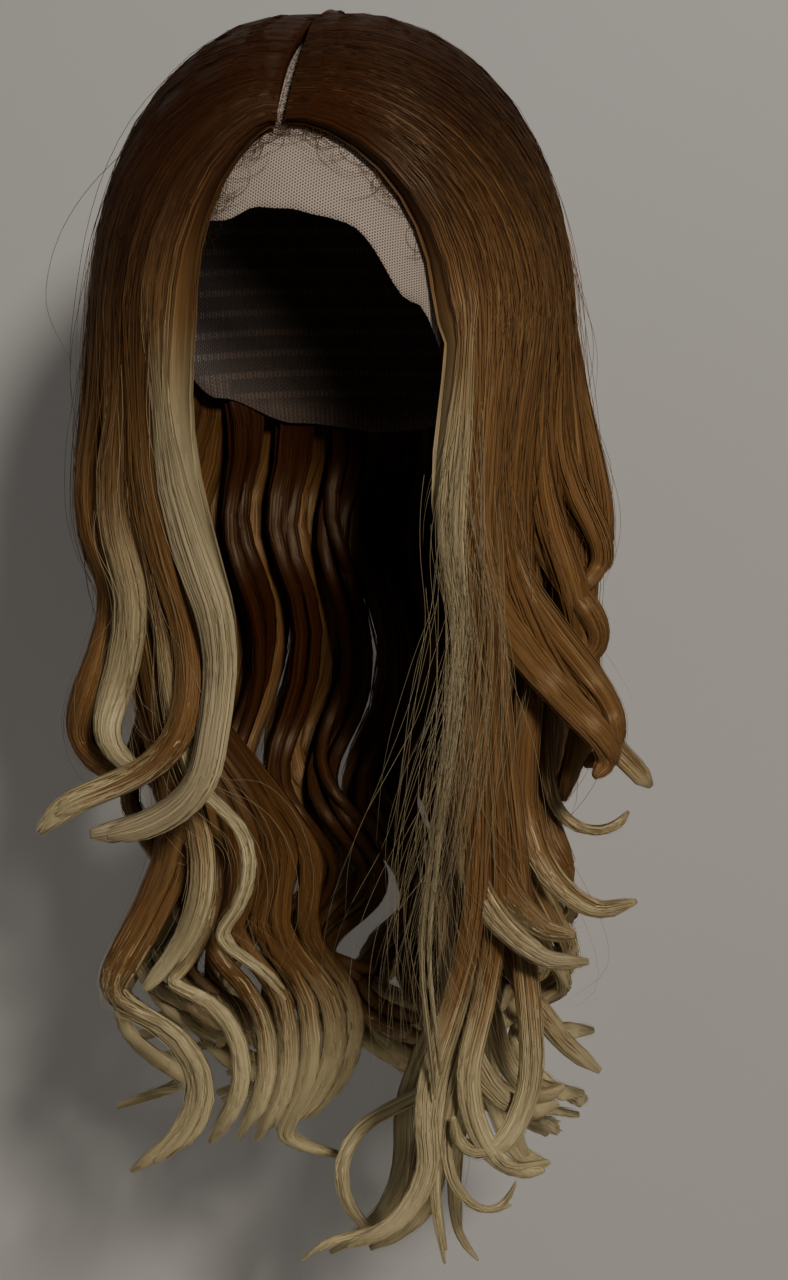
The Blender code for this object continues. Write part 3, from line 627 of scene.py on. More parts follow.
def nape_path(lock):
    """A strip of the curtain: it leaves the cap above the nape and hangs."""
    turn = math.radians(lock.turn)
    lift = CAP_WALL + NAPE_CLEARANCE + NAPE_ROOT_THICKNESS / 2
    direction = facing(turn, np.linspace(NAPE_ROOT_ANGLE, NAPE_LEAVE_ANGLE, 4)[:3])
    root = (
        head_points(direction, lift), direction, np.full(3, NAPE_WIDTH), np.full(3, NAPE_ROOT_THICKNESS))
    leave = head_points(facing(turn, NAPE_LEAVE_ANGLE), lift)
    reach = math.hypot(leave[0] / HEAD_HALF_WIDTH, leave[1] / HEAD_HALF_DEPTH) - 1
    start = -CROWN_RISE - leave[2]
    hung = hanging_run(lock, start, reach * HEAD_HALF_DEPTH, NAPE_FLARE, NAPE_WIDTH, NAPE_THICKNESS)
    return joined_path((root, hung))


def curve_through(points, step):
    """Smooth curve through points (rows of values, place first), with samples this far apart."""
    padded = np.concatenate(((2 * points[0] - points[1],), points, (2 * points[-1] - points[-2],)))
    runs = []
    for index in range(1, len(padded) - 2):
        before, start, end, after = padded[index - 1:index + 3]
        count = max(int(np.linalg.norm(end[:3] - start[:3]) / step), 2)
        share = (np.arange(count) / count)[:, None]
        runs.append(0.5 * (
            2 * start + (end - before) * share + (2 * before - 5 * start + 4 * end - after) * share**2
            + (3 * start - before - 3 * end + after) * share**3))
    return np.concatenate((*runs, points[-1:]))


def camera_axes():
    """Eye, and unit vectors to the right, up and back of the picture."""
    back = np.array((
        math.sin(CAMERA_TURN) * math.cos(CAMERA_RISE), -math.cos(CAMERA_TURN) * math.cos(CAMERA_RISE),
        math.sin(CAMERA_RISE)))
    right = np.array((math.cos(CAMERA_TURN), math.sin(CAMERA_TURN), 0.0))
    aim = right * CAMERA_SIDE_SHIFT + np.array((0, 0, CAMERA_AIM_Z))
    return aim + back * CAMERA_DISTANCE, right, np.cross(back, right), back


def drawn_places(lock):
    """Places of a drawn lock in metres, with its width there, from its places in the picture."""
    eye, right, up, back = camera_axes()
    drawn = Spot(*np.array(lock.places, float).T)
    focal = PICTURE_HEIGHT / 2 / math.tan(CAMERA_HALF_VIEW)
    ray = right * (drawn.across[:, None] - PICTURE_WIDTH / 2) / focal - back
    ray = ray + up * (PICTURE_HEIGHT / 2 - drawn.down[:, None]) / focal
    step = np.arange(len(lock.places))
    depth = mix(lock.near, lock.far, step / (len(lock.places) - 1))
    sway = SWAY * np.sin(step * SWAY_STEP + lock.sway * SWAY_PHASE)
    depth = depth + np.where(drawn.down > SWAY_BELOW, sway, 0.0)
    reach = (depth - eye[1]) / ray[:, 1]
    width = drawn.width * reach / focal
    width[-2] = max(width[-2], width[-3] * TIP_FULLNESS)
    width[-1] = max(width[-1], width[-2] * TIP_FULLNESS)
    return np.concatenate((eye + ray * reach[:, None], width[:, None]), 1)


def trace_path(lock, slip, short):
    """A drawn lock from the parting down, slipped aside and back and cut shorter by small amounts."""
    top = HeadRow(lock.turn, root_at(lock.turn), lock.width, lock.lead, lock.arrive)
    centre, outward, width, thickness = head_run(top, HEAD_POINTS)
    turn = math.radians(lock.turn)
    rest = head_points(facing(turn, math.pi / 2), CAP_WALL + HAIR_CLEARANCE + BODY_THICKNESS / 2)
    places = drawn_places(lock)
    settled = ease(np.arange(1, len(places) + 1) / 3)[:, None]
    places[:, :3] = places[:, :3] + np.array((slip[0], slip[1], 0)) * settled
    start = (*rest, BODY_WIDTH * lock.width)
    hung = curve_through(np.concatenate(((start,), places)), HANG_STEP)
    steps = np.linalg.norm(np.diff(hung[:, :3], axis=0), axis=1)
    fall = np.concatenate(((0.0,), np.cumsum(steps)))
    hung, fall = hung[fall <= fall[-1] - short], fall[fall <= fall[-1] - short]
    away = unit(hung[:, :2] / np.array((HEAD_HALF_WIDTH, HEAD_HALF_DEPTH)))
    forward = unit(away * np.array(FORWARD_SQUEEZE) - np.array(FORWARD_PULL))
    away = mix(away, forward, ease(fall / FORWARD_FALL)[:, None])
    away = unit(np.concatenate((away, np.zeros((len(away), 1))), 1))
    narrowed = np.maximum((fall - fall[-1] + TAPER_LENGTH / 2) / (TAPER_LENGTH / 2), 0.0)
    taper = np.sqrt(np.maximum(1 - narrowed**2, TIP_SLIMMING))
    deep = mix(BODY_THICKNESS, TIP_THICKNESS, ease(fall / THINNING_FALL))
    deep = deep * np.clip(hung[:, 3] / FULL_DEPTH_WIDTH, LEAST_DEPTH_SHARE, 1.0)
    return joined_path((
        (centre, outward, width, thickness), (hung[:, :3], away, hung[:, 3] * taper, deep * taper)), 1)


def root_at(turn):
    """Share of the parting that the hair at a turn grows from, as the locks there do."""
    rows = [lock for name, locks in SECTIONS.items() if name != "nape_hair" for lock in locks]
    side = [lock for lock in rows if lock.turn == 180 or (lock.turn < 0) == (turn < 0)]
    known = sorted((abs(lock.turn), lock.root) for lock in side)
    return float(np.interp(abs(turn), [row[0] for row in known], [row[1] for row in known]))


def bundle_rows(name, locks, rng):
    """Finer bundles of a section's locks: rows with small differences."""
    dressing = DRESSINGS[name]
    rows = []
    for lock in locks:
        turn = math.radians(lock.turn)
        radius = math.hypot(math.sin(turn) * HEAD_HALF_WIDTH, math.cos(turn) * HEAD_HALF_DEPTH)
        full = NAPE_WIDTH if name == "nape_hair" else BODY_WIDTH * lock.width
        for index in range(dressing.bundles):
            place = (index + 0.5) / dressing.bundles - 0.5
            step = math.degrees(place * full / (radius + 0.016))
            shifted = lock.turn + step
            shifted = shifted - 360 if shifted > 180 else shifted
            wild = 2.4 if rng.random() < 0.35 else 0.9
            single = name == "nape_hair" or dressing.bundles == 1
            rows.append(lock._replace(
                turn=shifted,
                root=lock.root if single else root_at(shifted),
                drop=lock.drop * (1 + rng.normal(0, 0.014) * wild),
                swing=lock.swing * (1 + rng.normal(0, 0.06) * wild),
                waves=lock.waves * (1 + rng.normal(0, 0.008) * wild),
                lean=lock.lean + rng.normal(0, 9) * wild,
                sweep=lock.sweep + rng.normal(0, 1.0) * wild - step * (0.0 if wild > 1 else 0.55),
                spread=lock.spread + rng.normal(0, 0.3) * wild,
                ash=min(max(lock.ash + rng.normal(0, 0.12), 0.0), 1.0),
            ))
    return rows


def bundles_of(name, rng):
    """Rows and paths of a section's bundles."""
    dressing = DRESSINGS[name]
    if name not in TRACES:
        rows = bundle_rows(name, SECTIONS[name], rng)
        rows += [lock._replace(turn=lock.turn - 1) for lock in UNDER.get(name, ())]
        return [(row, nape_path(row) if name == "nape_hair" else outer_path(row)) for row in rows]
    found = []
    for lock in TRACES[name]:
        for index in range(dressing.bundles):
            place = (index + 0.5) / dressing.bundles - 0.5
            aside = place * BUNDLE_STEP + rng.normal(0, BUNDLE_CHANCE)
            slip = (aside, abs(place) * BUNDLE_TUCK + rng.normal(0, BUNDLE_CHANCE))
            row = lock._replace(
                turn=lock.turn + place * BUNDLE_TURN,
                ash=min(max(lock.ash + rng.normal(0, BUNDLE_ASH_CHANCE), 0.0), 1.0))
            short = 0.0 if index == 0 else rng.uniform(*BUNDLE_CUT)
            found.append((row, trace_path(row, slip, short)))
    for row in bundle_rows(name, UNDER.get(name, ()), rng):
        found.append((row, outer_path(row)))
    return found


def tone_of(lock, depth):
    """0 at the dark roots, 0.5 at the gold lengths and 1 at the pale ends, by depth below the crown."""
    gold = ease((depth - lock.fade) / (lock.gold - lock.fade))
    pale = ease((depth - lock.pale) / (lock.ends - lock.pale))
    return gold * 0.5 + pale * 0.5 * gold


def ash_of(lock, depth, more=0.0):
    """Share of ash blonde by depth below the crown: it comes in where the lock turns pale."""
    arrived = ease((depth - lock.pale) / (lock.ends - lock.pale))
    return np.clip(lock.ash + more, 0, 1) * mix(0.12, 1.0, arrived)


class Gather:
    """Vertices, faces and per-vertex values of many small forms, joined into one mesh."""

    def __init__(self):
        self.places, self.quads, self.caps, self.fibre, self.values = [], [], [], [], []
        self.count = 0

    def add(self, places, quads, fibre, values, caps=()):
        self.places.append(places)
        self.quads.append(quads + self.count)
        self.caps.extend(cap + self.count for cap in caps)
        self.fibre.append(fibre)
        self.values.append(values)
        self.count += len(places)

    def mesh(self, name):
        data = bpy.data.meshes.new(name)
        places = np.concatenate(self.places)
        quads = np.concatenate(self.quads)
        corners = np.concatenate([quads.ravel()] + list(self.caps)) if self.caps else quads.ravel()
        totals = np.concatenate((np.full(len(quads), 4), [len(cap) for cap in self.caps])).astype(np.int32)
        starts = np.concatenate(((0,), np.cumsum(totals)[:-1])).astype(np.int32)
        data.vertices.add(len(places))
        data.vertices.foreach_set("co", places.astype(np.float32).ravel())
        data.loops.add(len(corners))
        data.loops.foreach_set("vertex_index", corners.astype(np.int32))
        data.polygons.add(len(totals))
        data.polygons.foreach_set("loop_start", starts)
        data.polygons.foreach_set("use_smooth", np.ones(len(totals), bool))
        fibre = np.concatenate(self.fibre)[corners]
        data.uv_layers.new(name="fibre").data.foreach_set("uv", fibre.astype(np.float32).ravel())
        values = np.concatenate(self.values)
        for index, label in enumerate(("tone", "ash", "shade")):
            layer = data.attributes.new(label, "FLOAT", "POINT")
            layer.data.foreach_set("value", values[:, index].astype(np.float32))
        data.update(calc_edges=True)
        data.validate()
        return data


def along_path(path, places):
    """The path's centre, across, up, width, thickness and fall at these places, given in path steps."""
    before = np.clip(np.floor(places).astype(int), 0, len(path.width) - 2)
    share = places - before
    columns = []
    for column in (path.centre, path.across, path.up):
        columns.append(column[before] * (1 - share)[..., None] + column[before + 1] * share[..., None])
    for column in (path.width, path.thickness, path.fall):
        columns.append(column[before] * (1 - share) + column[before + 1] * share)
    return columns


def stations(path, count):
    """Places along a path in its own steps, closer together where it curls."""
    steps = np.diff(path.fall, prepend=0.0)
    turning = np.linalg.norm(np.gradient(path.along, axis=0), axis=1)
    detail = np.cumsum(steps * 12 + turning)
    return np.interp(np.linspace(detail[0], detail[-1], count), detail, np.arange(len(detail)))


def add_heart(gather, path, lock, size, rng, flat_until):
    """Grooved solid heart of a bundle, tapered where its fibres end."""
    places = stations(path, HEART_POINTS)
    centre, across, up, width, thickness, fall = along_path(path, places)
    path = Path(centre, across, up, None, width, thickness, fall)
    steps = HEART_POINTS
    share = fall / fall[-1]
    size = (size * (1 - 0.30 * ease((share - 0.98) / 0.02)))[:, None]
    around = 2 * np.pi * np.arange(HEART_SIDES) / HEART_SIDES
    loose = ease((path.fall - flat_until) / 0.10)[:, None]
    wide, tall = np.cos(around)[None, :], np.sin(around)[None, :]
    boxed_wide = np.sign(wide) * np.abs(wide) ** 0.45
    boxed_tall = np.sign(tall) * np.abs(tall) ** 0.45
    groove = 1 + 0.045 * np.sin(around * 5 + rng.uniform(0, 6))[None, :]
    groove = groove + 0.04 * np.sin(path.fall[:, None] * 70 + around[None, :] * 2 + rng.uniform(0, 6))
    wide = mix(boxed_wide, wide, loose) * groove * size
    tall = mix(boxed_tall, tall, loose) * groove * size
    places = path.centre[:, None, :] + path.across[:, None, :] * (wide * path.width[:, None] / 2)[..., None]
    places = places + path.up[:, None, :] * (tall * path.thickness[:, None] / 2)[..., None]
    corner = np.arange(steps * HEART_SIDES).reshape(steps, HEART_SIDES)
    turned = np.roll(corner, -1, axis=1)
    quads = np.stack((corner[:-1], turned[:-1], turned[1:], corner[1:]), -1).reshape(-1, 4)[:, ::-1]
    fibre = np.stack((
        np.broadcast_to(around[None, :] * 0.006 + rng.uniform(0, 1), (steps, HEART_SIDES)),
        np.broadcast_to(path.fall[:, None], (steps, HEART_SIDES)),
    ), -1)
    tone = tone_of(lock, -places[..., 2])
    shade = np.broadcast_to(0.42 + 0.08 * np.sin(around * 3)[None, :], tone.shape)
    values = np.stack((tone, ash_of(lock, -places[..., 2]), shade), -1)
    gather.add(
        places.reshape(-1, 3), quads, fibre.reshape(-1, 2), values.reshape(-1, 3),
        caps=(corner[0], corner[-1][::-1]))


def drifting(rng, fall, slow, fast, count, phases=6.3):
    """A wave down each of many strands, with its own pace and start."""
    pace = rng.uniform(slow, fast, count)[:, None]
    return np.sin(fall * pace + rng.uniform(0, phases, count)[:, None])


def add_ribbons(gather, path, lock, count, sizes, rng, flat_until):
    """Thin ribbons of fibres laid over a bundle."""
    steps = RIBBON_POINTS
    ends = 1 - 0.025 * rng.random(count) ** 2.0
    places = stations(path, steps)[None, :] * ends[:, None]
    centre, across, up, width, thickness, fall = along_path(path, places)
    share = places / (len(path.width) - 1)
    loose = ease((fall - flat_until) / 0.10)
    side = rng.uniform(-1, 1, count)[:, None]
    face = np.where(rng.random(count) < 0.68, 1.0, -1.0)[:, None]
    depth = 1 - sizes.looseness * 1.2 * rng.random(count)[:, None] ** 1.5
    drift = rng.normal(0, 0.12, count)[:, None] * share
    sway = 0.05 * drifting(rng, fall, 18, 42, count)
    wide = np.clip(side + drift + sway, -1, 1)
    round_tall = np.sqrt(np.maximum(1 - wide**2, 0.0))
    flat_tall = 1 - 0.12 * wide**2
    tall = face * depth * mix(flat_tall, round_tall, loose)
    astray = np.where(rng.random(count) < 0.12, 1.0, 0.0)[:, None]
    outward = astray * rng.uniform(0.0003, 0.0016, count)[:, None] * ease(share * 5)
    sway = sway + astray * 0.30 * drifting(rng, fall, 9, 24, count)
    wide = np.clip(side + drift + sway, -1, 1)
    wobble = sizes.looseness * 0.5 * drifting(rng, fall, 25, 60, count)
    tall = tall + wobble * 0.35
    wide_place = wide * mix(1.18, 1.03, loose)
    places = centre + across * (wide_place * width / 2)[..., None]
    places = places + up * ((tall * thickness / 2) + outward)[..., None]
    along = unit(np.gradient(places, axis=1))
    normal_wide = wide_place * thickness * loose
    normal_tall = np.where(face > 0, 1, -1) * np.maximum(np.abs(tall), 0.15) * width
    normal = unit(across * normal_wide[..., None] + up * normal_tall[..., None])
    tilt = rng.normal(0, 0.22, count)[:, None, None]
    sideways = unit(np.cross(normal, along) + normal * tilt)
    half = sizes.ribbon_width / 2 * (1 + sizes.ribbon_spread * rng.uniform(-1, 1, count))[:, None]
    half = half * (1 - 0.45 * astray)
    rounded = np.sqrt(np.maximum(1 - (share / ends[:, None]) ** 14, 0.02))
    half = half * mix(0.75, 1.0, ease(share * 8)) * rounded
    left = places - sideways * half[..., None]
    right = places + sideways * half[..., None]
    both = np.stack((left, right), 2)
    corner = np.arange(count * steps * 2).reshape(count, steps, 2)
    quads = np.stack((
        corner[:, :-1, 0], corner[:, :-1, 1], corner[:, 1:, 1], corner[:, 1:, 0]), -1).reshape(-1, 4)
    start = rng.uniform(0, 4, count)[:, None]
    fibre = np.stack((
        np.stack((start + 0 * half, start + 2 * half), -1),
        np.stack((fall, fall), -1),
    ), -1)
    tone = tone_of(lock, -both[..., 2] + rng.normal(0, 0.012, count)[:, None, None])
    broad = 0.13 * np.sin(side * rng.uniform(3, 5) + rng.uniform(0, 6.3))
    broad = broad + 0.07 * np.sin(side * 11 + fall * 9)
    shade = (rng.uniform(*RIBBON_SHADES, count)[:, None] + broad)[..., None] + 0 * tone
    ash = ash_of(lock, -both[..., 2], rng.normal(0, 0.12, count)[:, None, None])
    values = np.stack((tone, ash, shade), -1)
    gather.add(both.reshape(-1, 3), quads, fibre.reshape(-1, 2), values.reshape(-1, 3))


def tubes(gather, lines, radius, values, tip=0.25):
    """Three-sided fine strands along lines, an array of strands by points by 3."""
    count, steps = lines.shape[:2]
    along = unit(np.gradient(lines, axis=1))
    helper = np.where(np.abs(along[..., 2:3]) > 0.9, np.array((1.0, 0, 0)), np.array((0, 0, 1.0)))
    first = unit(np.cross(along, helper))
    second = np.cross(along, first)
    thin = np.linspace(0, 1, steps)[None, :]
    size = radius * mix(1.0, tip, thin**3)
    around = 2 * np.pi * np.arange(3) / 3
    places = lines[:, :, None, :] + first[:, :, None, :] * (np.cos(around) * size[..., None])[..., None]
    places = places + second[:, :, None, :] * (np.sin(around) * size[..., None])[..., None]
    corner = np.arange(count * steps * 3).reshape(count, steps, 3)
    turned = np.roll(corner, -1, axis=2)
    quads = np.stack((corner[:, :-1], turned[:, :-1], turned[:, 1:], corner[:, 1:]), -1).reshape(-1, 4)
    caps = [corner[index, 0][::-1] for index in range(count)] + [corner[index, -1] for index in range(count)]
    fall = np.broadcast_to(thin[..., None] * 0.4, (count, steps, 3))
    fibre = np.stack((np.broadcast_to(around * 0.0002, (count, steps, 3)), fall), -1)
    spread = np.broadcast_to(values[:, :, None, :], (count, steps, 3, 3))
    gather.add(places.reshape(-1, 3), quads, fibre.reshape(-1, 2), spread.reshape(-1, 3), caps=caps)


def add_piece(name, data, material, replaced=None):
    """A finished piece that rides on the wig and may stand for one of its solids."""
    piece = bpy.data.objects.new(name, data)
    bpy.context.scene.collection.objects.link(piece)
    data.materials.append(material)
    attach(piece, "root")
    if replaced:
        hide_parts(replaced)
    return piece


def node(tree, kind, inputs=None, **settings):
    """A node with these settings, and values or links for its inputs."""
    made = tree.nodes.new(kind)
    for key, value in settings.items():
        setattr(made, key, value)
    for key, value in (inputs or {}).items():
        if isinstance(value, bpy.types.NodeSocket):
            tree.links.new(value, made.inputs[key])
        else:
            made.inputs[key].default_value = value
    return made


def calc(tree, operation, *values):
    made = node(tree, "ShaderNodeMath", operation=operation)
    for index, value in enumerate(values):
        if isinstance(value, bpy.types.NodeSocket):
            tree.links.new(value, made.inputs[index])
        else:
            made.inputs[index].default_value = value
    return made.outputs[0]


def blend_colour(tree, share, first, second):
    made = node(tree, "ShaderNodeMix", data_type="RGBA")
    for index, value in ((0, share), (6, first), (7, second)):
        if isinstance(value, bpy.types.NodeSocket):
            tree.links.new(value, made.inputs[index])
        elif index:
            made.inputs[index].default_value = (*value, 1)
        else:
            made.inputs[index].default_value = value
    return made.outputs[2]


def new_group(name, inputs, outputs):
    """A shader node group with named inputs and outputs: name, socket type, default."""
    tree = bpy.data.node_groups.new(name, "ShaderNodeTree")
    for label, kind, default in inputs:
        socket = tree.interface.new_socket(label, in_out="INPUT", socket_type=kind)
        if default is not None:
            socket.default_value = default
    for label, kind in outputs:
        tree.interface.new_socket(label, in_out="OUTPUT", socket_type=kind)
    return tree, tree.nodes.new("NodeGroupInput").outputs, tree.nodes.new("NodeGroupOutput").inputs


def fibre_group():
    """Streaked colour, roughness and relief of hair fibres, from a bundle's own values."""
    name = "hair_fibres"
    if name in bpy.data.node_groups:
        return bpy.data.node_groups[name]
    colour, value = "NodeSocketColor", "NodeSocketFloat"
    tree, given, out = new_group(name, (
        ("Fibre", "NodeSocketVector", None), ("Tone", value, 0.5), ("Ash", value, 0.0), ("Shade", value, 0.5),
        ("Root Colour", colour, None), ("Gold Colour", colour, None), ("Pale Colour", colour, None),
        ("Ash Colour", colour, None), ("Streak Depth", value, 0.3),
    ), (("Color", colour), ("Roughness", value), ("Height", value)))
    fine = node(tree, "ShaderNodeMapping", {"Vector": given["Fibre"], "Scale": (2400, 26, 1)})
    coarse = node(tree, "ShaderNodeMapping", {"Vector": given["Fibre"], "Scale": (420, 9, 1)})
    streak = node(tree, "ShaderNodeTexNoise", {
        "Vector": fine.outputs[0], "Scale": 1.0, "Detail": 2.0, "Roughness": 0.6}, noise_dimensions="2D")
    patch = node(tree, "ShaderNodeTexNoise", {
        "Vector": coarse.outputs[0], "Scale": 1.0, "Detail": 1.0, "Roughness": 0.5}, noise_dimensions="2D")
    noise = calc(tree, "SUBTRACT", streak.outputs["Fac"], 0.5)
    wide = calc(tree, "SUBTRACT", patch.outputs["Fac"], 0.5)
    varied = calc(tree, "ADD", given["Tone"], calc(tree, "MULTIPLY", calc(tree, "ADD", noise, wide), 0.16))
    low = calc(tree, "MINIMUM", calc(tree, "MULTIPLY", varied, 2.0), 1.0)
    low = calc(tree, "MAXIMUM", low, 0.0)
    high = calc(tree, "SUBTRACT", calc(tree, "MULTIPLY", varied, 2.0), 1.0)
    high = calc(tree, "MINIMUM", calc(tree, "MAXIMUM", high, 0.0), 1.0)
    warm = blend_colour(tree, low, given["Root Colour"], given["Gold Colour"])
    warm = blend_colour(tree, high, warm, given["Pale Colour"])
    cool = blend_colour(tree, low, given["Root Colour"], given["Ash Colour"])
    hair = blend_colour(tree, given["Ash"], warm, cool)
    light = calc(tree, "ADD", calc(tree, "MULTIPLY", given["Shade"], 0.85), 0.48)
    light = calc(tree, "ADD", light, calc(tree, "MULTIPLY", noise, given["Streak Depth"]))
    scaled = node(tree, "ShaderNodeVectorMath", {0: hair}, operation="SCALE")
    tree.links.new(light, scaled.inputs["Scale"])
    tree.links.new(scaled.outputs[0], out["Color"])
    rough = calc(tree, "ADD", 0.36, calc(tree, "MULTIPLY", streak.outputs["Fac"], 0.16))
    tree.links.new(rough, out["Roughness"])
    tree.links.new(streak.outputs["Fac"], out["Height"])
    return tree


def principled(name, **constants):
    """A material's tree and shader, with constants on the shader's own sockets."""
    made = bpy.data.materials.new(name)
    made.use_nodes = True
    shader = made.node_tree.nodes["Principled BSDF"]
    for label, value in constants.items():
        shader.inputs[label.replace("_", " ")].default_value = value
    return made, made.node_tree, shader


def hair_material(slot):
    name = f"{slot}_fibre"
    if name in bpy.data.materials:
        return bpy.data.materials[name]
    colours = bpy.context.scene.wig_hair_colours
    made, tree, shader = principled(
        name, Specular_IOR_Level=0.24, Specular_Tint=(1.0, 0.80, 0.52, 1), Anisotropic=0.75)
    place = node(tree, "ShaderNodeUVMap", uv_map="fibre")
    group = node(tree, "ShaderNodeGroup", node_tree=fibre_group())
    tree.links.new(place.outputs[0], group.inputs["Fibre"])
    for label in ("tone", "ash", "shade"):
        source = node(tree, "ShaderNodeAttribute", attribute_name=label, attribute_type="GEOMETRY")
        tree.links.new(source.outputs["Fac"], group.inputs[label.title()])
    for label in ("root", "gold", "pale", "ash"):
        group.inputs[f"{label.title()} Colour"].default_value = (*getattr(colours, label), 1)
    group.inputs["Streak Depth"].default_value = 0.40
    bump = node(tree, "ShaderNodeBump", {
        "Height": group.outputs["Height"], "Strength": 0.22, "Distance": 0.0003})
    tangent = node(tree, "ShaderNodeTangent", direction_type="UV_MAP", uv_map="fibre")
    tree.links.new(group.outputs["Color"], shader.inputs["Base Color"])
    tree.links.new(group.outputs["Roughness"], shader.inputs["Roughness"])
    tree.links.new(bump.outputs[0], shader.inputs["Normal"])
    tree.links.new(tangent.outputs[0], shader.inputs["Tangent"])
    return made


def net_group():
    """Round holes in a honeycomb, as in tulle: 1 on the threads and 0 in the holes."""
    name = "net_holes"
    if name in bpy.data.node_groups:
        return bpy.data.node_groups[name]
    tree, given, out = new_group(
        name,
        (("Place", "NodeSocketVector", None), ("Cell", "NodeSocketFloat", 0.001),
         ("Openness", "NodeSocketFloat", 0.0)),
        (("Thread", "NodeSocketFloat"), ("Height", "NodeSocketFloat")))
    split = node(tree, "ShaderNodeSeparateXYZ", {0: given["Place"]})
    pitch = calc(tree, "DIVIDE", 2 * math.pi / math.cos(math.radians(30)), given["Cell"])
    waves = []
    for degrees in (0, 60, 120):
        x = calc(tree, "MULTIPLY", split.outputs[0], math.cos(math.radians(degrees)))
        y = calc(tree, "MULTIPLY", split.outputs[1], math.sin(math.radians(degrees)))
        waves.append(calc(tree, "COSINE", calc(tree, "MULTIPLY", calc(tree, "ADD", x, y), pitch)))
    total = calc(tree, "ADD", calc(tree, "ADD", waves[0], waves[1]), waves[2])
    edge = calc(tree, "SUBTRACT", given["Openness"], total)
    thread = calc(tree, "MINIMUM", calc(tree, "MAXIMUM", calc(tree, "MULTIPLY", edge, 2.0), 0.0), 1.0)
    tree.links.new(thread, out["Thread"])
    tree.links.new(calc(tree, "MULTIPLY", edge, 0.3), out["Height"])
    return tree


def lace_material():
    cap = bpy.context.scene.wig_cap
    made, tree, shader = principled("lace_tulle", Roughness=0.75, Sheen_Weight=0.2)
    place = node(tree, "ShaderNodeUVMap", uv_map="weave")
    net = node(tree, "ShaderNodeGroup", node_tree=net_group())
    net.inputs["Cell"].default_value = cap.net_cell
    net.inputs["Openness"].default_value = 0.1
    tree.links.new(place.outputs[0], net.inputs["Place"])
    knots = node(tree, "ShaderNodeAttribute", attribute_name="knots", attribute_type="GEOMETRY")
    spots = node(tree, "ShaderNodeMapping", {"Vector": place.outputs[0], "Scale": (620, 620, 1)})
    dots = node(tree, "ShaderNodeTexVoronoi", {
        "Vector": spots.outputs[0], "Scale": 1.0, "Randomness": 0.55}, voronoi_dimensions="2D")
    near = calc(tree, "LESS_THAN", dots.outputs["Distance"], 0.34)
    dot = calc(tree, "MULTIPLY", near, knots.outputs["Fac"])
    cloud = node(tree, "ShaderNodeTexNoise", {"Vector": place.outputs[0], "Scale": 90.0, "Detail": 2.0})
    pale = tuple(min(channel * 1.2, 1.0) for channel in cap.lace_colour)
    cloth = blend_colour(tree, cloud.outputs["Fac"], tuple(cap.lace_colour), pale)
    cloth = blend_colour(tree, dot, cloth, (0.03, 0.012, 0.006))
    tree.links.new(cloth, shader.inputs["Base Color"])
    film = calc(tree, "ADD", calc(tree, "MULTIPLY", net.outputs["Thread"], 0.62), 0.16)
    tree.links.new(calc(tree, "MAXIMUM", film, dot), shader.inputs["Alpha"])
    bump = node(tree, "ShaderNodeBump", {
        "Height": net.outputs["Height"], "Strength": 0.5, "Distance": 0.0002})
    tree.links.new(bump.outputs[0], shader.inputs["Normal"])
    return made


def cap_material():
    cap = bpy.context.scene.wig_cap
    made, tree, shader = principled("cap_weave", Sheen_Weight=0.3)
    place = node(tree, "ShaderNodeUVMap", uv_map="weave")
    net = node(tree, "ShaderNodeGroup", node_tree=net_group())
    net.inputs["Cell"].default_value = cap.net_cell * 1.5
    net.inputs["Openness"].default_value = 0.6
    tree.links.new(place.outputs[0], net.inputs["Place"])
    hem = node(tree, "ShaderNodeAttribute", attribute_name="hem", attribute_type="GEOMETRY")
    split = node(tree, "ShaderNodeSeparateXYZ", {0: place.outputs[0]})
    phase = calc(tree, "FRACT", calc(tree, "DIVIDE", split.outputs[1], cap.weft_pitch))
    away = calc(tree, "MULTIPLY", calc(tree, "ABSOLUTE", calc(tree, "SUBTRACT", phase, 0.5)), 2.0)
    row = calc(tree, "MULTIPLY", calc(tree, "SUBTRACT", 0.40, away), 6.0)
    row = calc(tree, "MAXIMUM", calc(tree, "MINIMUM", row, 1.0), hem.outputs["Fac"])
    row = calc(tree, "MAXIMUM", row, 0.0)
    ticks = node(tree, "ShaderNodeTexWave", {
        "Vector": place.outputs[0], "Scale": 150.0, "Distortion": 0.4}, bands_direction="X")
    light = tuple(min(channel * 2.2, 1.0) for channel in cap.cap_colour)
    dark = tuple(channel * 0.5 for channel in cap.cap_colour)
    cloth = blend_colour(tree, net.outputs["Thread"], dark, tuple(cap.cap_colour))
    sewn = blend_colour(tree, ticks.outputs["Fac"], tuple(cap.cap_colour), light)
    tree.links.new(blend_colour(tree, row, cloth, sewn), shader.inputs["Base Color"])
    rough = calc(tree, "ADD", 0.70, calc(tree, "MULTIPLY", ticks.outputs["Fac"], 0.15))
    tree.links.new(rough, shader.inputs["Roughness"])
    relief = calc(tree, "MULTIPLY", calc(tree, "ADD", ticks.outputs["Fac"], 1.0), row)
    height = calc(tree, "ADD", net.outputs["Height"], relief)
    bump = node(tree, "ShaderNodeBump", {"Height": height, "Strength": 0.6, "Distance": 0.0004})
    tree.links.new(bump.outputs[0], shader.inputs["Normal"])
    return made


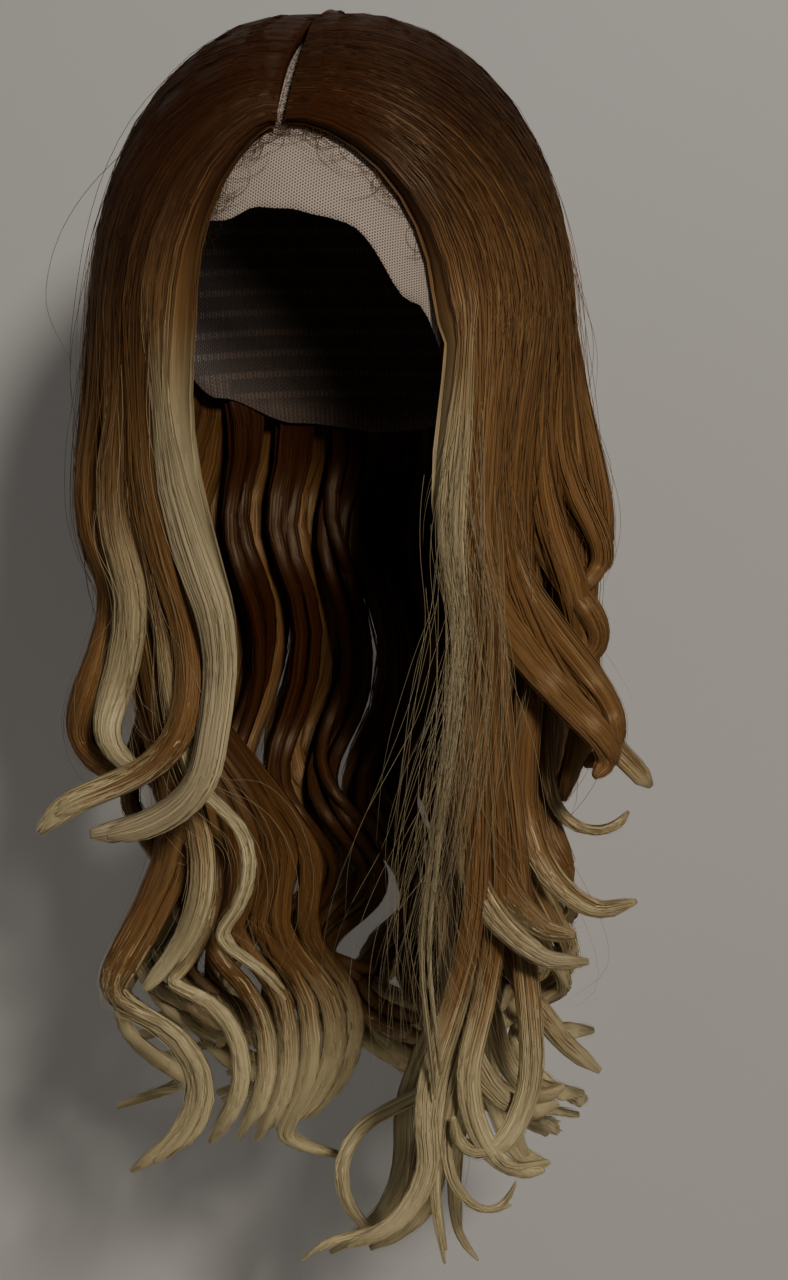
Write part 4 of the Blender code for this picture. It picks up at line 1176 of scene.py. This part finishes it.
def cover_surface(turns, rings, edge_drop=None):
    """Open surface of the cap and lace together, as a bmesh with its weave map."""
    surface = bmesh.new()
    weave = surface.loops.layers.uv.new("weave")
    crown = surface.verts.new(head_points(facing(0.0, 0.0), 0.0))
    turn = 360 * np.arange(turns) / turns
    turn = np.where(turn <= 180, turn, turn - 360)
    edge = edge_angle(turn) + (0 if edge_drop is None else edge_drop(turn))
    loops = []
    for ring in range(1, rings + 1):
        points = head_points(facing(np.radians(turn), edge * ring / rings), 0.0)
        loops.append([surface.verts.new(point) for point in points])
    for step in range(turns):
        following = (step + 1) % turns
        surface.faces.new((crown, loops[0][step], loops[0][following]))
        for upper, lower in zip(loops, loops[1:]):
            surface.faces.new((upper[step], lower[step], lower[following], upper[following]))
    bmesh.ops.recalc_face_normals(surface, faces=surface.faces)
    for face in surface.faces:
        for loop in face.loops:
            x, y, z = loop.vert.co
            loop[weave].uv = (
                HEAD_HALF_WIDTH * math.asin(max(-1.0, min(1.0, x / HEAD_HALF_WIDTH / 1.01))),
                0.1 * math.atan2(-y, z + CROWN_RISE + 0.02),
            )
    return surface


def cover_mesh(name, front, turns, rings, edge_drop=None):
    """The half of the cover in front of the seam, or behind it."""
    surface = cover_surface(turns, rings, edge_drop)
    bmesh.ops.bisect_plane(
        surface, geom=surface.verts[:] + surface.edges[:] + surface.faces[:], dist=1e-6,
        plane_co=(0, LACE_SEAM_Y - (0.0004 if front else 0.0), 0), plane_no=(0, 1, 0),
        clear_outer=front, clear_inner=not front)
    data = bpy.data.meshes.new(name)
    surface.to_mesh(data)
    surface.free()
    for polygon in data.polygons:
        polygon.use_smooth = True
    return data


def thicken(piece, wall, offset):
    """Gives a sheet its wall."""
    bpy.ops.object.select_all(action="DESELECT")
    piece.select_set(True)
    bpy.context.view_layer.objects.active = piece
    modifier = piece.modifiers.new("wall", "SOLIDIFY")
    modifier.thickness = wall
    modifier.offset = offset
    bpy.ops.object.modifier_apply(modifier=modifier.name)


def lace_edge(turn):
    """Loose scissor cut of the lace's front edge, in radians below the even edge."""
    wave = 0.45 * np.sin(np.radians(turn) * 19 + 0.7) + 0.30 * np.sin(np.radians(turn) * 31 + 2.1)
    return np.radians(wave * 0.7)


class WIG_OT_lace(bpy.types.Operator):
    """Sheer lace in front of the ears, with the knots of the parting"""

    bl_idname = "wig.lace"
    bl_label = "Lace front"

    def execute(self, context):
        data = cover_mesh("lace_front_sheet", True, 144, 30, lace_edge)
        places = np.array([vert.co for vert in data.vertices])
        middle = np.exp(-(places[:, 0] / 0.0042) ** 2) * ease((places[:, 2] + 0.040) / 0.004)
        layer = data.attributes.new("knots", "FLOAT", "POINT")
        layer.data.foreach_set("value", middle.astype(np.float32))
        piece = add_piece("lace_front_sheet", data, lace_material(), "lace_front")
        thicken(piece, context.scene.wig_cap.lace_wall, 1)
        return {"FINISHED"}


class WIG_OT_cap(bpy.types.Operator):
    """Stretch cap with its sewn rows and bound edge"""

    bl_idname = "wig.cap"
    bl_label = "Cap"

    def execute(self, context):
        data = cover_mesh("cap_sheet", False, 144, 44)
        weave = data.uv_layers["weave"].data
        for loop in data.loops:
            x, y, z = data.vertices[loop.vertex_index].co
            ring = math.hypot(x / HEAD_HALF_WIDTH, y / HEAD_HALF_DEPTH)
            turn = math.atan2(abs(x), -y)
            weave[loop.index].uv = (turn * 0.088, 0.1 * math.atan2(ring, (z + CROWN_RISE) / CROWN_RISE))
        places = np.array([vert.co for vert in data.vertices])
        across = np.hypot(places[:, 0] / HEAD_HALF_WIDTH, places[:, 1] / HEAD_HALF_DEPTH)
        turn = np.degrees(np.arctan2(places[:, 0], -places[:, 1]))
        angle = np.arctan2(across, (places[:, 2] + CROWN_RISE) / NAPE_FALL)
        hem = ease((angle - edge_angle(turn) + 0.075) / 0.01)
        layer = data.attributes.new("hem", "FLOAT", "POINT")
        layer.data.foreach_set("value", hem.astype(np.float32))
        piece = add_piece("cap_sheet", data, cap_material(), "wig_cap")
        thicken(piece, CAP_WALL * 0.8, 1)
        return {"FINISHED"}


class WIG_OT_hair(bpy.types.Operator):
    """Every section of hair: solid bundles under ribbons of fibres"""

    bl_idname = "wig.hair"
    bl_label = "Hair sections"

    def execute(self, context):
        sizes = context.scene.wig_hair_sizes
        for name, dressing in DRESSINGS.items():
            rng = np.random.default_rng(dressing.seed)
            gather = Gather()
            for row, path in bundles_of(name, rng):
                lower = ease((path.fall - 0.10) / 0.25)
                if isinstance(row, Trace):
                    path = path._replace(width=path.width * mix(0.90, 0.92, lower))
                else:
                    share = 1.30 / dressing.bundles
                    thinner = mix(mix(0.98, 0.86, ease(path.fall / 0.14)), 0.80, lower)
                    fuller = 1 + 0.7 * ease((path.fall / path.fall[-1] - 0.84) / 0.16)
                    path = path._replace(
                        centre=path.centre - path.up * (path.thickness * (1 - thinner) / 2)[:, None],
                        width=path.width * mix(share, max(share, 0.46), lower) * fuller,
                        thickness=path.thickness * thinner)
                flat_until = 0.0 if name == "nape_hair" else 0.16
                add_heart(gather, path, row, sizes.bundle_fill, rng, flat_until)
                add_ribbons(gather, path, row, dressing.ribbons, sizes, rng, flat_until)
            data = gather.mesh(f"{name}_fibres")
            add_piece(data.name, data, hair_material(dressing.slot), name)
        return {"FINISHED"}


class WIG_OT_loose_hair(bpy.types.Operator):
    """Flyaway strands, thin wisps and the short hairs of the hairline"""

    bl_idname = "wig.loose_hair"
    bl_label = "Loose hair"

    def execute(self, context):
        self.flyaways()
        self.wisps()
        self.short_hairs()
        return {"FINISHED"}

    def flyaways(self):
        rng = np.random.default_rng(41)
        gather = Gather()
        for name in SECTIONS:
            if name == "nape_hair":
                continue
            for lock, path in bundles_of(name, rng)[::DRESSINGS[name].bundles]:
                steps = len(path.width)
                count = FLYAWAYS_A_LOCK
                first = rng.uniform(0, 0.55, count)[:, None]
                last = np.minimum(first + rng.uniform(0.25, 0.6, count)[:, None], 1.0)
                share = first + (last - first) * np.linspace(0, 1, FLYAWAY_POINTS)[None, :]
                centre, across, up, width, thickness, _ = along_path(path, share * (steps - 1))
                inner = (share - first) / (last - first)
                lifted = rng.gamma(1.6, FLYAWAY_LIFT, count)[:, None]
                arch = np.sin(np.pi * inner * rng.uniform(0.6, 1.0, count)[:, None])
                lifted = lifted * arch**2
                side = rng.uniform(-1, 1, count)[:, None] + rng.normal(0, 1.0, count)[:, None] * inner**2
                side = side + 0.25 * drifting(rng, inner, 3, 9, count, 6)
                line = centre + across * (side * width / 2)[..., None]
                line = line + up * (thickness / 2 * 0.98 + lifted)[..., None]
                tone = tone_of(lock, -line[..., 2])
                values = np.stack((tone, ash_of(lock, -line[..., 2]), np.full(tone.shape, 0.8)), -1)
                tubes(gather, line, FLYAWAY_RADIUS, values)
        data = gather.mesh("flyaway_strands")
        add_piece(data.name, data, hair_material("rooted_hair"))

    def wisps(self):
        """Thin see-through wisps that fall beside the face and spread towards their ends."""
        rng = np.random.default_rng(43)
        gather = Gather()
        for name, index, count in WISPS:
            lock = TRACES[name][index]
            path = trace_path(lock, (0.0, 0.0), 0.0)
            first = rng.uniform(0.30, 0.66, count)[:, None]
            last = first + (1 - first) * rng.uniform(0.55, 1.0, count)[:, None]
            share = first + (last - first) * np.linspace(0, 1, WISP_POINTS)[None, :]
            centre, across, up, _, thickness, _ = along_path(path, share * (len(path.width) - 1))
            inner = (share - first) / (last - first)
            fan = rng.normal(0, 1.0, count)[:, None] * mix(0.004, 0.016, inner)
            fan = fan + 0.004 * drifting(rng, inner, 4, 10, count, 6)
            lifted = rng.uniform(0.0, 0.008, count)[:, None] * np.sin(np.pi * inner)
            line = centre + across * fan[..., None] + up * (thickness / 2 + lifted)[..., None]
            tone = np.full(fan.shape, 1.0)
            values = np.stack((tone, np.full(fan.shape, 0.8), np.full(fan.shape, 0.6)), -1)
            tubes(gather, line, WISP_RADIUS, values)
        data = gather.mesh("wisp_strands")
        add_piece(data.name, data, hair_material("highlight_hair"))

    def short_hairs(self):
        rng = np.random.default_rng(42)
        gather = Gather()
        for name, toward in (("front_lock_left", 1), ("front_lock_right", -1)):
            lock = SECTIONS[name][0]
            path = outer_path(lock)
            count = SHORT_HAIRS
            place = rng.uniform(0.0, HEAD_POINTS * 0.75, count)[:, None]
            centre, _, up, _, thickness, _ = along_path(path, place)
            root = centre - up * (thickness / 2)[..., None]
            length = rng.uniform(0.008, 0.030, count)[:, None]
            run = np.linspace(0, 1, SHORT_HAIR_POINTS)[None, :] * length
            curl = rng.uniform(60, 260, count)[:, None] * rng.choice((-1, 1), count)[:, None]
            heading = rng.normal(-0.9, 0.5, count)[:, None] + curl * run
            step = run[:, 1:2] - run[:, :1]
            sideways = np.cumsum(np.cos(heading) * step, axis=1) * toward
            down = np.cumsum(np.sin(heading) * step, axis=1)
            line = root + np.stack((sideways, -0.25 * np.abs(sideways), down), -1)
            line = self.on_lace(line, 0.0012 + rng.uniform(0, 0.002, count)[:, None])
            values = np.broadcast_to(np.array((0.12, 0.1, 0.6)), (*line.shape[:2], 3))
            tubes(gather, line, SHORT_HAIR_RADIUS, values)
        data = gather.mesh("hairline_strands")
        add_piece(data.name, data, hair_material("rooted_hair"))

    @staticmethod
    def on_lace(line, lift):
        """Moves points onto the lace's own form, lifted a little."""
        direction = line + np.array((0, 0, CROWN_RISE))
        scaled = unit(direction / np.array((HEAD_HALF_WIDTH, HEAD_HALF_DEPTH, CROWN_RISE)))
        return head_points(scaled, lift)


class WIG_OT_stage(bpy.types.Operator):
    """Pale wall and floor in one sweep, soft lights and the camera"""

    bl_idname = "wig.stage"
    bl_label = "Stage"

    def execute(self, context):
        self.backdrop(context.scene.wig_stage)
        self.lights(context.scene.wig_stage)
        self.camera()
        return {"FINISHED"}

    def backdrop(self, stage):
        bpy.ops.object.select_all(action="DESELECT")
        bpy.ops.mesh.primitive_plane_add(size=1, location=(0, 0, 0))
        sweep = bpy.context.object
        sweep.name = "backdrop"
        wall = stage.wall_distance
        corners = ((-3.2, -3.0), (3.2, -3.0), (-3.2, wall), (3.2, wall))
        for vert, (x, y) in zip(sweep.data.vertices, corners):
            vert.co = (x, y, FLOOR_Z)
        bpy.ops.object.mode_set(mode="EDIT")
        edit = bmesh.from_edit_mesh(sweep.data)
        bpy.ops.mesh.select_mode(type="EDGE")
        bpy.ops.mesh.select_all(action="DESELECT")
        for edge in edit.edges:
            edge.select_set(all(abs(vert.co.y - wall) < 1e-6 for vert in edge.verts))
        bmesh.update_edit_mesh(sweep.data)
        bpy.ops.mesh.extrude_region_move(TRANSFORM_OT_translate={"value": (0, 0, WALL_HEIGHT)})
        bpy.ops.mesh.select_all(action="DESELECT")
        edit = bmesh.from_edit_mesh(sweep.data)
        for edge in edit.edges:
            edge.select_set(all(
                abs(vert.co.y - wall) < 1e-6 and abs(vert.co.z - FLOOR_Z) < 1e-6 for vert in edge.verts))
        bmesh.update_edit_mesh(sweep.data)
        bpy.ops.mesh.bevel(offset=SWEEP_RADIUS, segments=SWEEP_SEGMENTS, affect="EDGES")
        bpy.ops.mesh.select_all(action="SELECT")
        bpy.ops.mesh.normals_make_consistent(inside=True)
        bpy.ops.object.mode_set(mode="OBJECT")
        bpy.ops.object.shade_smooth()
        if sweep.data.polygons[0].normal.z < 0:
            sweep.data.flip_normals()
        made, tree, shader = principled("wall_paint", Roughness=0.9)
        spot = node(tree, "ShaderNodeTexCoord")
        cloud = node(tree, "ShaderNodeTexNoise", {
            "Vector": spot.outputs["Object"], "Scale": 3.0, "Detail": 3.0})
        dull = tuple(channel * 0.93 for channel in stage.wall_colour)
        paint = blend_colour(tree, cloud.outputs["Fac"], dull, tuple(stage.wall_colour))
        tree.links.new(paint, shader.inputs["Base Color"])
        behind = node(tree, "ShaderNodeNewGeometry").outputs["Backfacing"]
        tree.links.new(calc(tree, "SUBTRACT", 1.0, behind), shader.inputs["Alpha"])
        sweep.data.materials.append(made)

    def lights(self, stage):
        world = bpy.data.worlds.new("soft_room")
        bpy.context.scene.world = world
        world.use_nodes = True
        room = world.node_tree.nodes["Background"].inputs
        room["Color"].default_value = (0.86, 0.87, 0.90, 1)
        room["Strength"].default_value = ROOM_LIGHT
        self.area("key", KEY_PLACE, KEY_SIZE, stage.key_power, (1.0, 0.96, 0.90))
        self.area("fill", FILL_PLACE, FILL_SIZE, stage.fill_power, (0.93, 0.96, 1.0))

    @staticmethod
    def area(name, place, size, power, colour):
        data = bpy.data.lights.new(name, "AREA")
        data.shape = "DISK"
        data.size = size
        data.energy = power
        data.color = colour
        light = bpy.data.objects.new(name, data)
        bpy.context.scene.collection.objects.link(light)
        light.location = place
        aim = Vector(LIGHT_AIM) - Vector(place)
        light.rotation_euler = aim.to_track_quat("-Z", "Y").to_euler()

    @staticmethod
    def camera():
        eye, _, _, back = camera_axes()
        data = bpy.data.cameras.new("camera")
        data.sensor_width = 36
        data.lens = data.sensor_width / 2 / math.tan(CAMERA_HALF_VIEW)
        data.clip_start = 0.02
        camera = bpy.data.objects.new("camera", data)
        bpy.context.scene.collection.objects.link(camera)
        camera.location = eye
        camera.rotation_mode = "QUATERNION"
        camera.rotation_quaternion = Vector(-back).to_track_quat("-Z", "Y")
        bpy.context.scene.camera = camera


class WIG_PT_panel(bpy.types.Panel):
    """Sizes, colours and build steps of the wig"""

    bl_idname = "WIG_PT_panel"
    bl_label = "Lace front wig"
    bl_space_type = "VIEW_3D"
    bl_region_type = "UI"
    bl_category = "Wig"

    def draw(self, context):
        scene = context.scene
        for label in ("wig_cap", "wig_hair_sizes", "wig_hair_colours", "wig_stage"):
            box = self.layout.box()
            group = getattr(scene, label)
            for key in group.__annotations__:
                box.prop(group, key)
        for step in OPERATORS:
            self.layout.operator(step.bl_idname)


GROUPS = {
    "wig_cap": CapSettings,
    "wig_hair_sizes": HairSizes,
    "wig_hair_colours": HairColours,
    "wig_stage": StageSettings,
}
OPERATORS = (WIG_OT_cap, WIG_OT_lace, WIG_OT_hair, WIG_OT_loose_hair, WIG_OT_stage)


def register():
    for kind in (*GROUPS.values(), *OPERATORS, WIG_PT_panel):
        bpy.utils.register_class(kind)
    for label, kind in GROUPS.items():
        setattr(bpy.types.Scene, label, PointerProperty(type=kind))


def unregister():
    for label in GROUPS:
        delattr(bpy.types.Scene, label)
    for kind in reversed((*GROUPS.values(), *OPERATORS, WIG_PT_panel)):
        bpy.utils.unregister_class(kind)


def main():
    register()
    bpy.ops.object.select_all(action="DESELECT")
    bpy.ops.wig.cap()
    bpy.ops.wig.lace()
    bpy.ops.wig.hair()
    bpy.ops.wig.loose_hair()
    bpy.ops.wig.stage()


if __name__ == "__main__":
    main()
